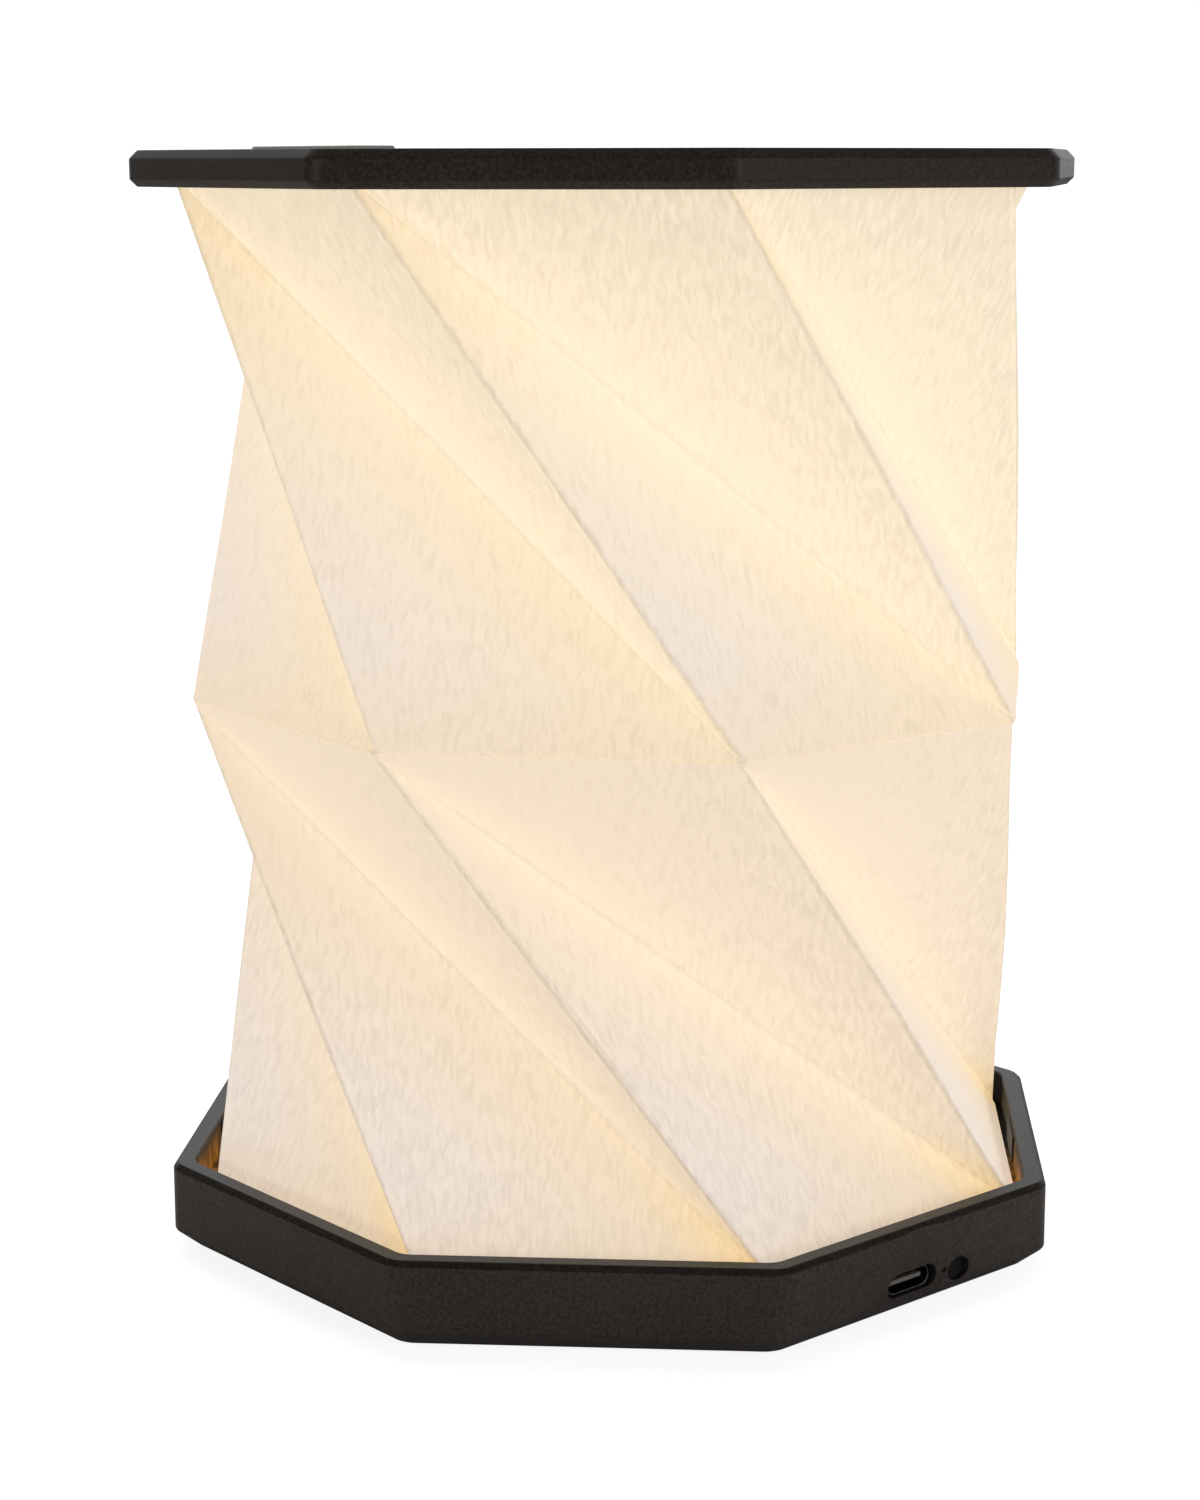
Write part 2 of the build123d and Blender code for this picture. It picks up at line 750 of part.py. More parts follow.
# Lid shell: flat top with a short rim that hides the shade's upper edge
with BuildPart() as lid_shell:
    with BuildSketch(level(lid_low, lid_turn)):
        add(rounded_octagon(lid_apothem, lid_corner_radius))
    extrude(amount=lid_height)
    chamfer(lid_shell.edges().group_by(Axis.Z)[-1], lid_top_chamfer)
    chamfer(lid_shell.edges().group_by(Axis.Z)[0], lid_lower_chamfer)
    with BuildSketch(level(lid_low, lid_turn)):
        add(rounded_octagon(lid_inner_apothem, tray_corner_radius))
    extrude(amount=lid_under - lid_low, mode=Mode.SUBTRACT)
    with BuildSketch(level(lid_under, lid_turn)):
        with Locations(*clamp_screw_places):
            Circle(boss_radius)
    extrude(amount=-inner_plate_thickness)
    with BuildSketch(level(lid_high - lid_skin / 2 + press_gap, lid_turn)):
        with Locations(*clamp_screw_places):
            Circle(screw_radius + press_gap)
    extrude(amount=-lid_skin - inner_plate_thickness, mode=Mode.SUBTRACT)
    for bearing in magnet_bearings.values():
        with BuildSketch(level(lid_low + magnet_drop, lid_turn + bearing)):
            with Locations((lid_inner_apothem, 0)):
                Rectangle(2 * (magnet_depth - magnet_proud + press_gap), magnet_length + 2 * press_gap)
        extrude(amount=lid_magnet_height + 2 * press_gap, mode=Mode.SUBTRACT)
save(lid_shell.part, "lid_shell")

with BuildPart() as lid_inner_plate:
    with BuildSketch(level(inner_plate_low, lid_turn)):
        add(rounded_octagon(lid_inner_apothem - seat_gap, tray_corner_radius))
        with Locations(*clamp_screw_places):
            Circle(boss_radius + seat_gap, mode=Mode.SUBTRACT)
    extrude(amount=inner_plate_thickness)
save(lid_inner_plate.part, "lid_inner_plate")

with BuildPart() as top_reflector:
    with BuildSketch(level(inner_plate_low)):
        Circle(reflector_radius)
    extrude(amount=-hem_thickness)
save(top_reflector.part, "top_reflector")

# Latch magnets: bar magnets glued in the base rim and in the lid rim
for name, bearing in magnet_bearings.items():
    magnet_places = {
        "base": (level(rim_top - magnet_drop - press_gap, bearing), tray_apothem, -base_magnet_height),
        "lid": (
            level(lid_low + magnet_drop + press_gap, lid_turn + bearing),
            lid_inner_apothem,
            lid_magnet_height,
        ),
    }
    for owner, (plane, inner_face, height) in magnet_places.items():
        with BuildPart() as magnet:
            with BuildSketch(plane):
                with Locations((inner_face - magnet_proud + magnet_depth / 2, 0)):
                    Rectangle(magnet_depth, magnet_length)
            extrude(amount=height)
        save(magnet.part, f"{owner}_magnet_{name}")

# Plain metal plate glued flat on the lid
with BuildPart() as lid_plate:
    with BuildSketch(level(lid_high, plate_bearing)):
        with Locations((plate_offset, 0)):
            RectangleRounded(plate_width, plate_length, plate_corner_radius)
    extrude(amount=plate_thickness)
    chamfer(lid_plate.edges().group_by(Axis.Z)[-1], plate_edge_chamfer)
save(lid_plate.part, "lid_plate")

# Sizes that the joints use: the closed lid stops just above the rim, its corners over the rim's
lid_travel = lid_low - rim_top - closed_gap
lower_travel = lid_travel * lower_fold_height / (lower_fold_height + upper_fold_height)
upper_travel = lid_travel - lower_travel
print(f"lower fold {ring_low:.2f}-{mid_band_low:.2f}, drops {lower_travel:.3f}, turns {lower_twist:.1f}")
print(f"upper fold {mid_band_high:.2f}-{ring_high:.2f}, drops {upper_travel:.3f}, turns {upper_twist:.1f}")
print(f"lid {lid_low:.2f}-{lid_high:.2f}, rim {rim_top:.2f}, button travel {button_travel}")
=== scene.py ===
"""Dressed model of a collapsible paper lantern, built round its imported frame.

Everything is in metres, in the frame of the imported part: +Z up, the base's flats across X and Y,
the front towards -Y and the port side towards +X -Y.
"""

import json
import logging
import math
from contextlib import contextmanager
from dataclasses import dataclass, replace
from enum import Enum
from functools import cache
from typing import Callable, Iterator, Optional, Sequence

import bmesh
import bpy
import numpy as np
from mathutils import Matrix, Vector

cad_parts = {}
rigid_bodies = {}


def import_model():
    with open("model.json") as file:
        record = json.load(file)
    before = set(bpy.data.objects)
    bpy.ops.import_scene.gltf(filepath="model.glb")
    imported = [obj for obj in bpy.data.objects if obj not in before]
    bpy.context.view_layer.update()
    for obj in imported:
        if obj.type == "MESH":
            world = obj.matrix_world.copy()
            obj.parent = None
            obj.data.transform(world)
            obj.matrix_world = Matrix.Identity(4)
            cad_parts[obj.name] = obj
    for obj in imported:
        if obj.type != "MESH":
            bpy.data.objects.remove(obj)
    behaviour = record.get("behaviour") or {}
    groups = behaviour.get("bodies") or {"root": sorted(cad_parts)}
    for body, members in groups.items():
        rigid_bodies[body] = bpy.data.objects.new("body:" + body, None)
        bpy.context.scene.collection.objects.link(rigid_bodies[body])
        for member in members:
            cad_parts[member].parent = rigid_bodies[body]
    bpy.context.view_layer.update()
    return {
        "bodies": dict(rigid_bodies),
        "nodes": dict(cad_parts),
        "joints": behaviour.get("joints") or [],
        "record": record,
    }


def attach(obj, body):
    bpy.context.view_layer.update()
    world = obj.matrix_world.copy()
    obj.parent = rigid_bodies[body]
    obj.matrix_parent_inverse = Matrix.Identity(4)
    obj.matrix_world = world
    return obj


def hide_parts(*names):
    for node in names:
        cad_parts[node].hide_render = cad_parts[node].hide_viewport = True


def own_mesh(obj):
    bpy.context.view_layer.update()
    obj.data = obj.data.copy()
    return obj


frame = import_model()

logging.basicConfig(level=logging.INFO, format="%(message)s")
log = logging.getLogger("lantern")

MM = 0.001
SIDES = 8
STEP = 360 / SIDES
HALF_STEP = STEP / 2
SECANT = 1 / math.cos(math.radians(HALF_STEP))
PORT_ROUND_FACES = 12
CORNER_FACES = 7

# Turns and bearings are in degrees about the axis, anticlockwise seen from above. The two layers
# of paper end this far below and above the height of the crease between them.
LID_TURN = -7.2
LOWER_END_TURN = 0.4
MID_TURN = -4.65
UPPER_END_TURN = -7.4
PORT_BEARING = -45.0
CREASE_HALF = 0.1 * MM

# An edge is level within the first length and lies at a height within the second. A face looks
# up, and an edge or a face looks along a direction, from these cosines. An edge is sharp from
# this angle.
LEVEL_WITHIN = 1e-6
HEIGHT_WITHIN = 1e-5
FACING = 0.9
ALONG = 0.99
SHARP = math.radians(50)

Colour = tuple[float, float, float]
Piece = bpy.types.Object
Node = bpy.types.Node
Socket = bpy.types.NodeSocket
Sockets = bpy.types.bpy_prop_collection
Tree = bpy.types.NodeTree


class Shape(Enum):
    """How a solid is joined to the piece it is cut from or added to."""

    CUT = "DIFFERENCE"
    ADD = "UNION"


class Part(Enum):
    """The parts of a mesh that can be picked."""

    POINT = "VERT"
    EDGE = "EDGE"
    FACE = "FACE"


def mm(*lengths: float) -> tuple[float, ...]:
    """Return lengths in millimetres as lengths in metres."""
    return tuple(length * MM for length in lengths)


def grey(level: float) -> Colour:
    """Return a neutral colour."""
    return (level, level, level)


def corner_bearings(turn: float = 0.0) -> list[float]:
    """Return the bearings of an octagon's corners, in degrees."""
    return [HALF_STEP + turn + k * STEP for k in range(SIDES)]


def outward(bearing: float) -> Vector:
    """Return the level direction of a bearing in degrees."""
    return Vector((math.cos(math.radians(bearing)), math.sin(math.radians(bearing)), 0))


def polar(radius: float, bearing: float, height: float = 0.0) -> Matrix:
    """Return a place at a radius and a bearing in degrees, turned to face outwards along X."""
    turn = Matrix.Rotation(math.radians(bearing), 4, "Z")
    return turn @ Matrix.Translation((radius, 0, height))


def port_place(distance: float, sideways: float = 0.0, height: float = 0.0) -> Matrix:
    """Return a place on the port side, whose X runs sideways, Y up and Z outwards.

    Args:
        distance: How far out from the lantern's axis.
        sideways: How far along the side, to the right seen from outside.
        height: The height.

    Returns:
        The place as a matrix.
    """
    out, along = outward(PORT_BEARING), outward(PORT_BEARING + 90)
    middle = out * distance + along * sideways + Vector((0, 0, height))
    turn = Matrix((along, (0, 0, 1), out)).transposed().to_4x4()
    return Matrix.Translation(middle) @ turn


class Bench:
    """The modelling moves that the builders of the pieces share."""

    @staticmethod
    def clear() -> None:
        """Deselect everything."""
        bpy.ops.object.select_all(action="DESELECT")

    @classmethod
    def hold(cls, piece: Piece) -> None:
        """Select one piece alone and make it the active one.

        Args:
            piece: The object to work on.
        """
        cls.clear()
        piece.select_set(True)
        bpy.context.view_layer.objects.active = piece

    @classmethod
    @contextmanager
    def editing(cls, piece: Piece) -> Iterator[None]:
        """Keep a piece in edit mode, all selected at first, for the length of a with block.

        Args:
            piece: The mesh object to edit.
        """
        cls.hold(piece)
        bpy.ops.object.mode_set(mode="EDIT")
        bpy.ops.mesh.select_all(action="SELECT")
        yield
        bpy.ops.object.mode_set(mode="OBJECT")

    @staticmethod
    def pick(piece: Piece, part: Part, test: Callable[..., bool]) -> None:
        """Select the points, edges or faces of a piece that pass a test, in edit mode.

        Args:
            piece: The mesh object that is being edited.
            part: Which of its parts are tested.
            test: Gets a point's place, an edge's two ends, or a face's middle and normal.
        """
        bpy.ops.mesh.select_mode(type=part.value)
        bpy.ops.mesh.select_all(action="DESELECT")
        mesh = bmesh.from_edit_mesh(piece.data)
        if part is Part.FACE:
            known = [(face, (face.calc_center_median(), face.normal)) for face in mesh.faces]
        elif part is Part.EDGE:
            known = [(edge, [end.co for end in edge.verts]) for edge in mesh.edges]
        else:
            known = [(point, (point.co,)) for point in mesh.verts]
        for item, facts in known:
            if test(*facts):
                item.select_set(True)
        bmesh.update_edit_mesh(piece.data)

    @staticmethod
    def bevel(width: float, segments: int = 1) -> None:
        """Bevel the selected edges, in edit mode."""
        bpy.ops.mesh.bevel(offset=width, segments=segments, affect="EDGES", clamp_overlap=False)

    @classmethod
    def bevel_end(cls, piece: Piece, side: int, width: float, segments: int = 1) -> None:
        """Bevel the edge round a piece's upper or lower face, in edit mode.

        Args:
            piece: The mesh object that is being edited.
            side: 1 for its upper face and -1 for its lower one.
            width: The width of the bevel.
            segments: How many faces the bevel has.
        """
        cls.pick(piece, Part.FACE, lambda middle, normal: side * normal.z > FACING)
        bpy.ops.mesh.region_to_loop()
        cls.bevel(width, segments)

    @classmethod
    def bevel_level(
        cls, piece: Piece, heights: Sequence[float], width: float, segments: int
    ) -> None:
        """Bevel the level edges at some heights, in edit mode.

        Args:
            piece: The mesh object that is being edited.
            heights: Where the edges run.
            width: The width of the bevel.
            segments: How many faces the bevel has.
        """
        cls.pick(
            piece,
            Part.EDGE,
            lambda a, b: abs(a.z - b.z) < LEVEL_WITHIN
            and any(abs(a.z - height) < HEIGHT_WITHIN for height in heights),
        )
        cls.bevel(width, segments)

    @classmethod
    def settle(cls, piece: Piece) -> Piece:
        """Put a piece's place, turn and scale into its mesh.

        Args:
            piece: The object to settle.

        Returns:
            The same object, at the origin.
        """
        cls.hold(piece)
        bpy.ops.object.transform_apply(location=True, rotation=True, scale=True)
        return piece

    @classmethod
    def take(cls, name: str) -> Piece:
        """Name and settle the primitive that was just added."""
        bpy.context.object.name = name
        return cls.settle(bpy.context.object)

    @classmethod
    def bar(
        cls, name: str, radius: float, low: float, high: float, rim: int = 48, turn: float = 0.0
    ) -> Piece:
        """Make an upright bar with a regular outline.

        Args:
            name: The piece's name.
            radius: The radius of its corners.
            low: The height of its lower end.
            high: The height of its upper end.
            rim: How many sides it has.
            turn: Its turn about the axis, in degrees.

        Returns:
            The new object.
        """
        cls.clear()
        bpy.ops.mesh.primitive_cylinder_add(
            vertices=rim,
            radius=radius,
            depth=high - low,
            location=(0, 0, (low + high) / 2),
            rotation=(0, 0, math.radians(turn)),
        )
        return cls.take(name)

    @classmethod
    def place(cls, piece: Piece, matrix: Matrix) -> Piece:
        """Move a piece by a matrix, and return it."""
        piece.matrix_world = matrix
        return cls.settle(piece)

    @staticmethod
    def widen(share: float, middle: Sequence[float] = (0, 0, 0), **reach: object) -> None:
        """Scale what is selected across X and Y, in edit mode."""
        bpy.ops.transform.resize(value=(share, share, 1), center_override=middle, **reach)

    @classmethod
    def octagon(
        cls, name: str, apothem: float, low: float, high: float, corner: float, turn: float = 0.0
    ) -> Piece:
        """Make an upright octagonal block with rounded corners.

        Args:
            name: The piece's name.
            apothem: The distance from its axis to each flat.
            low: The height of its lower face.
            high: The height of its upper face.
            corner: The radius of its upright corners.
            turn: Its turn about the axis, in degrees.

        Returns:
            The new object.
        """
        piece = cls.bar(name, apothem * SECANT, low, high, SIDES, HALF_STEP + turn)
        with cls.editing(piece):
            cls.pick(piece, Part.EDGE, lambda a, b: abs(a.z - b.z) > (high - low) / 2)
            cls.bevel(corner * math.tan(math.radians(HALF_STEP)), CORNER_FACES)
        return piece

    @classmethod
    def box(cls, name: str, size: Sequence[float], place: Matrix = Matrix()) -> Piece:
        """Make a block of a size, placed by a matrix.

        Args:
            name: The piece's name.
            size: Its lengths along its own X, Y and Z.
            place: Where its middle and its axes go.

        Returns:
            The new object.
        """
        cls.clear()
        bpy.ops.mesh.primitive_cube_add(size=1)
        bpy.context.object.scale = size
        return cls.place(cls.take(name), place)

    @classmethod
    def port_bar(cls, name: str, size: Sequence[float], place: Matrix, flat: float) -> Piece:
        """Make a block with rounded sides that points straight out of the port side.

        Args:
            name: The piece's name.
            size: Its width, its height and its length.
            place: Where its middle and its axes go.
            flat: Half of what stays flat of its sides' height.

        Returns:
            The new object.
        """
        piece, out = cls.box(name, size, place), outward(PORT_BEARING)
        with cls.editing(piece):
            cls.pick(piece, Part.EDGE, lambda a, b: abs((b - a).normalized().dot(out)) > ALONG)
            cls.bevel(size[1] / 2 - flat, PORT_ROUND_FACES)
        return piece

    @classmethod
    def shape(cls, piece: Piece, tool: Piece, how: Shape) -> None:
        """Cut a solid out of a piece or add it, and throw the solid away.

        Args:
            piece: The piece that is shaped.
            tool: The solid.
            how: Whether it is cut or added.
        """
        cls.hold(piece)
        change = piece.modifiers.new(how.name.lower(), "BOOLEAN")
        change.operation, change.solver, change.object = how.value, "EXACT", tool
        bpy.ops.object.modifier_apply(modifier=change.name)
        bpy.data.objects.remove(tool)

    @classmethod
    def copies(cls, model: Piece, places: Sequence[Matrix]) -> list[Piece]:
        """Move a model to several places, as copies that have each their own mesh.

        Args:
            model: The piece that is copied, and then thrown away.
            places: A matrix for each copy.

        Returns:
            The copies, with their places in their meshes.
        """
        made = []
        for index, place in enumerate(places):
            copy = bpy.data.objects.new(f"{model.name}_{index + 1}", model.data.copy())
            bpy.context.scene.collection.objects.link(copy)
            copy.matrix_world = place
            bpy.context.view_layer.update()
            made.append(cls.settle(copy))
        bpy.data.objects.remove(model)
        return made

    @classmethod
    def join(cls, pieces: Sequence[Piece], name: str) -> Piece:
        """Join pieces into one object.

        Args:
            pieces: The objects to join.
            name: The joined object's name.

        Returns:
            The joined object.
        """
        cls.hold(pieces[0])
        for piece in pieces:
            piece.select_set(True)
        bpy.ops.object.join()
        bpy.context.object.name = name
        return bpy.context.object

    @classmethod
    def bars_round(
        cls, size: Sequence[float], circle: float, bearings: Sequence[float], rim: int = 16
    ) -> Piece:
        """Make round bars that stand on a circle, as one solid.

        Args:
            size: The radius of each bar and the heights of its lower and upper ends.
            circle: The radius of the circle that their axes stand on.
            bearings: The bearing of each, in degrees.
            rim: How many sides each has.

        Returns:
            The bars as one object.
        """
        model = cls.bar("bar", *size, rim=rim)
        return cls.join(cls.copies(model, [polar(circle, b) for b in bearings]), "bars")

    @classmethod
    def pockets_round(
        cls, size: Sequence[float], circle: float, turn: float, height: float
    ) -> Piece:
        """Make the blocks of the four magnet pockets, as one solid.

        Args:
            size: The lengths of each block, outwards, sideways and up.
            circle: How far out the middles of the blocks are.
            turn: The bearing of the first, in degrees.
            height: The height of their middles.

        Returns:
            The blocks as one object.
        """
        places = [polar(circle, turn + k * 90, height) for k in range(4)]
        return cls.join(cls.copies(cls.box("pocket", size), places), "pockets")

    @classmethod
    def soften(cls, piece: Piece, width: float, segments: int = 2) -> None:
        """Round every sharp edge of a piece.

        Args:
            piece: The piece.
            width: The width of the rounding.
            segments: How many faces each rounding has.
        """
        cls.hold(piece)
        rounding = piece.modifiers.new("rounding", "BEVEL")
        rounding.width, rounding.segments = width, segments
        rounding.limit_method, rounding.angle_limit = "ANGLE", SHARP
        rounding.use_clamp_overlap, rounding.harden_normals = True, False
        bpy.ops.object.modifier_apply(modifier=rounding.name)

    @classmethod
    def polish(cls, piece: Piece, angle: float) -> None:
        """Shade a piece smoothly, with its flat faces kept flat.

        Args:
            piece: The piece.
            angle: The angle from which an edge stays sharp, in degrees.
        """
        cls.hold(piece)
        bpy.ops.object.shade_smooth_by_angle(angle=math.radians(angle))
        weighted = piece.modifiers.new("weighted", "WEIGHTED_NORMAL")
        weighted.keep_sharp, weighted.weight = True, 80
        bpy.ops.object.modifier_apply(modifier=weighted.name)


class Wiring:
    """Adds the nodes of one tree and joins their sockets."""

    def __init__(self, tree: Tree) -> None:
        """Start on a tree."""
        self.tree = tree

    def put(self, socket: Socket, value: object) -> None:
        """Join a socket to another one, or set its number or colour.

        Args:
            socket: The input socket.
            value: An output socket, a number or a colour.
        """
        if isinstance(value, Socket):
            self.tree.links.new(value, socket)
        elif socket.type == "RGBA" and len(value) == 3:
            socket.default_value = (*value, 1)
        else:
            socket.default_value = value

    def fill(self, node: Node, inputs: dict[str, object]) -> None:
        """Give a node its inputs, with an underscore for a space in their names."""
        for key, value in inputs.items():
            self.put(node.inputs[key.replace("_", " ")], value)

    def node(self, kind: str, settings: Optional[dict] = None, **inputs: object) -> Node:
        """Add a node.

        Args:
            kind: The node's type, without the words before its own name.
            settings: Its own settings.
            **inputs: What its inputs get, with an underscore for a space in their names.

        Returns:
            The new node.
        """
        made = self.tree.nodes.new(f"ShaderNode{kind}")
        for key, value in (settings or {}).items():
            setattr(made, key, value)
        self.fill(made, inputs)
        return made

    def listed(self, kind: str, settings: dict, *values: object) -> Node:
        """Add a node whose inputs are given in their order.

        Args:
            kind: The node's type, without the words before its own name.
            settings: Its own settings.
            *values: What its inputs get.

        Returns:
            The new node.
        """
        made = self.node(kind, settings)
        for socket, value in zip(made.inputs, values):
            self.put(socket, value)
        return made

    def maths(self, operation: str, *values: object) -> Socket:
        """Work a number out from sockets and numbers."""
        return self.listed("Math", {"operation": operation}, *values).outputs[0]

    def times(self, first: object, second: object) -> Socket:
        """Multiply two numbers."""
        return self.maths("MULTIPLY", first, second)

    def times_plus(self, first: object, second: object, third: object) -> Socket:
        """Multiply two numbers and add a third."""
        return self.maths("MULTIPLY_ADD", first, second, third)

    def over(self, first: object, second: object) -> Socket:
        """Divide one number by another."""
        return self.maths("DIVIDE", first, second)

    def less(self, first: object, second: object) -> Socket:
        """Take one number from another."""
        return self.maths("SUBTRACT", first, second)

    def spread(self, value: object, *ends: float) -> Socket:
        """Spread a value smoothly from one range onto another, and keep it there.

        Args:
            value: The value's socket.
            *ends: The range's start and end, and then the results there if they aren't 0 and 1.

        Returns:
            The result.
        """
        low, high, to_low, to_high = ends if len(ends) == 4 else (*ends, 0.0, 1.0)
        settings = {"interpolation_type": "SMOOTHSTEP"}
        return self.listed("MapRange", settings, value, low, high, to_low, to_high).outputs[0]

    def noise(self, place: Socket, scale: object, detail: float, rough: float = 0.5) -> Socket:
        """Add a cloudy noise.

        Args:
            place: The coordinates.
            scale: Its scale.
            detail: How many finer layers it has.
            rough: How strong they are.

        Returns:
            Its value.
        """
        made = self.node("TexNoise", Vector=place, Scale=scale, Detail=detail, Roughness=rough)
        return made.outputs["Fac"]

    def laid(self, place: Socket, scale: Sequence[float], turn: float = 0.0) -> Socket:
        """Scale coordinates, and turn them about Z."""
        made = self.node("Mapping", Vector=place, Rotation=(0.0, 0.0, turn), Scale=scale)
        return made.outputs[0]

    def blend(self, share: object, first: object, second: object) -> Socket:
        """Mix two colours.

        Args:
            share: How much of the second one.
            first: The first colour or socket.
            second: The second colour or socket.

        Returns:
            The mixed colour.
        """
        made = self.node("Mix", {"data_type": "RGBA"}, Factor=share)
        self.put(made.inputs[6], first)
        self.put(made.inputs[7], second)
        return made.outputs[2]

    def group(self, tree: Tree, **inputs: object) -> Sockets:
        """Place a node group, and return its outputs."""
        return self.node("Group", {"node_tree": tree}, **inputs).outputs


class Effects:
    """The shader effects that several finishes share, each a node group made once."""

    @staticmethod
    def start(
        name: str, inputs: dict[str, float], outputs: Sequence[str]
    ) -> tuple[Wiring, Sockets, Sockets]:
        """Start a node group with a vector input, number inputs and number outputs.

        Args:
            name: The group's name.
            inputs: Its number inputs, with their first values.
            outputs: The names of its outputs.

        Returns:
            The wiring, the sockets of what the group gets and the sockets of what it gives.
        """
        tree = bpy.data.node_groups.new(name, "ShaderNodeTree")
        add, number = tree.interface.new_socket, "NodeSocketFloat"
        add("Vector", in_out="INPUT", socket_type="NodeSocketVector")
        for key, value in inputs.items():
            add(key, in_out="INPUT", socket_type=number).default_value = value
        for key in outputs:
            add(key, in_out="OUTPUT", socket_type=number)
        given, result = (tree.nodes.new(f"NodeGroup{end}") for end in ("Input", "Output"))
        return Wiring(tree), given.outputs, result.inputs

    @staticmethod
    @cache
    def moulded_grain() -> Tree:
        """Make the fine pitted grain of a moulded surface.

        Returns:
            A group that gives the grain's height and its cloudy tone.
        """
        wiring, given, result = Effects.start(
            "moulded grain", {"Grain Scale": 2600.0, "Cloud Scale": 45.0}, ("Height", "Tone")
        )
        pit_height, fine_tone, cloud_tone, tones = 0.6, 1.6, 0.4, (0.7, 1.3)
        place, scale = given["Vector"], given["Grain Scale"]
        fine = wiring.noise(place, scale, detail=4.0)
        pits = wiring.node("TexVoronoi", Vector=place, Scale=scale).outputs["Distance"]
        cloud = wiring.noise(place, given["Cloud Scale"], detail=5.0)
        wiring.put(result["Height"], wiring.times_plus(pits, pit_height, fine))
        tone = wiring.times_plus(fine, fine_tone, wiring.times(cloud, cloud_tone))
        wiring.put(result["Tone"], wiring.spread(tone, *tones))
        return wiring.tree

    @staticmethod
    @cache
    def brushed_lines() -> Tree:
        """Make fine scratches that run along Y.

        Returns:
            A group that gives the lines.
        """
        wiring, given, result = Effects.start("brushed lines", {"Line Scale": 900.0}, ("Lines",))
        drawn_out, levels = (1.0, 0.03, 1.0), (0.3, 0.7)
        long = wiring.laid(given["Vector"], drawn_out)
        noise = wiring.noise(long, given["Line Scale"], detail=6.0, rough=0.7)
        wiring.put(result["Lines"], wiring.spread(noise, *levels))
        return wiring.tree

    @staticmethod
    @cache
    def worn_edges() -> Tree:
        """Make a mask of the edges that hands and tables rub, broken up by noise.

        Returns:
            A group that gives the wear.
        """
        wiring, given, result = Effects.start(
            "worn edges", {"Width": 0.0005, "Break Scale": 400.0}, ("Wear",)
        )
        sharpness, breaks = (0.995, 0.93), (0.3, 0.65)
        rounded = wiring.node("Bevel", {"samples": 4}, Radius=given["Width"]).outputs[0]
        normal = wiring.node("NewGeometry").outputs["Normal"]
        facing = wiring.listed("VectorMath", {"operation": "DOT_PRODUCT"}, rounded, normal)
        edge = wiring.spread(facing.outputs["Value"], *sharpness)
        noise = wiring.noise(given["Vector"], given["Break Scale"], detail=4.0)
        wiring.put(result["Wear"], wiring.times(edge, wiring.spread(noise, *breaks)))
        return wiring.tree

    @staticmethod
    @cache
    def paper_fibres() -> Tree:
        """Make the fibres and the cloudiness of handmade paper.

        Returns:
            A group that gives the fibres and the clouds.
        """
        wiring, given, result = Effects.start(
            "paper fibres", {"Fibre Scale": 1500.0, "Cloud Scale": 160.0}, ("Fibres", "Clouds")
        )
        bend_scale, bends = 260.0, (0.003, 0.003, 0.0)
        turns, drawn_out = (0.35, 1.5, 2.6), (1.0, 0.22, 1.0)
        fibre_levels, cloud_levels = (0.34, 0.66), (0.3, 0.7)
        place = given["Vector"]
        bent = wiring.node("TexNoise", Vector=place, Scale=bend_scale, Detail=3.0)
        shifted = wiring.listed(
            "VectorMath", {"operation": "MULTIPLY_ADD"}, bent.outputs["Color"], bends, place
        )
        fibres: object = 0.0
        for turn in turns:
            strand = wiring.laid(shifted.outputs[0], drawn_out, turn)
            strand = wiring.noise(strand, given["Fibre Scale"], detail=3.0)
            fibres = wiring.times_plus(strand, 1 / len(turns), fibres)
        wiring.put(result["Fibres"], wiring.spread(fibres, *fibre_levels))
        cloud = wiring.noise(place, given["Cloud Scale"], detail=5.0, rough=0.6)
        wiring.put(result["Clouds"], wiring.spread(cloud, *cloud_levels))
        return wiring.tree

    @staticmethod
    @cache
    def fold_map() -> Tree:
        """Make the map of where a point of the flat sheet lies between its creases.

        Returns:
            A group that gives the share of the height, the share of the way from the mountain
            crease to the valley crease, and the distances to both creases.
        """
        wiring, given, result = Effects.start(
            "fold map",
            {"Pitch": 0.051, "Lean": 0.44, "Height": 0.086},
            ("Rise", "Side", "From Valley", "From Mountain"),
        )
        least = 0.001
        place = wiring.node("SeparateXYZ", Vector=given["Vector"]).outputs
        pitch, lean, height = (given[key] for key in ("Pitch", "Lean", "Height"))
        along = wiring.times_plus(place["Y"], lean, place["X"])
        across = wiring.maths("FRACT", wiring.over(along, pitch))
        back = wiring.less(1.0, across)
        rise = wiring.over(place["Y"], height)
        wiring.put(result["Rise"], rise)
        to_top = wiring.over(across, wiring.maths("MAXIMUM", wiring.less(1.0, rise), least))
        to_foot = wiring.over(back, wiring.maths("MAXIMUM", rise, least))
        wiring.put(result["Side"], wiring.maths("MINIMUM", to_top, to_foot))
        slope = wiring.maths("ADD", wiring.over(lean, pitch), wiring.over(1.0, height))
        square = wiring.maths("POWER", wiring.over(1.0, pitch), 2.0)
        steep = wiring.maths("SQRT", wiring.times_plus(slope, slope, square))
        wiring.put(result["From Valley"], wiring.over(wiring.less(rise, back), steep))
        leaning = wiring.maths("SQRT", wiring.times_plus(lean, lean, 1.0))
        nearest = wiring.times(wiring.maths("MINIMUM", across, back), pitch)
        wiring.put(result["From Mountain"], wiring.over(nearest, leaning))
        return wiring.tree


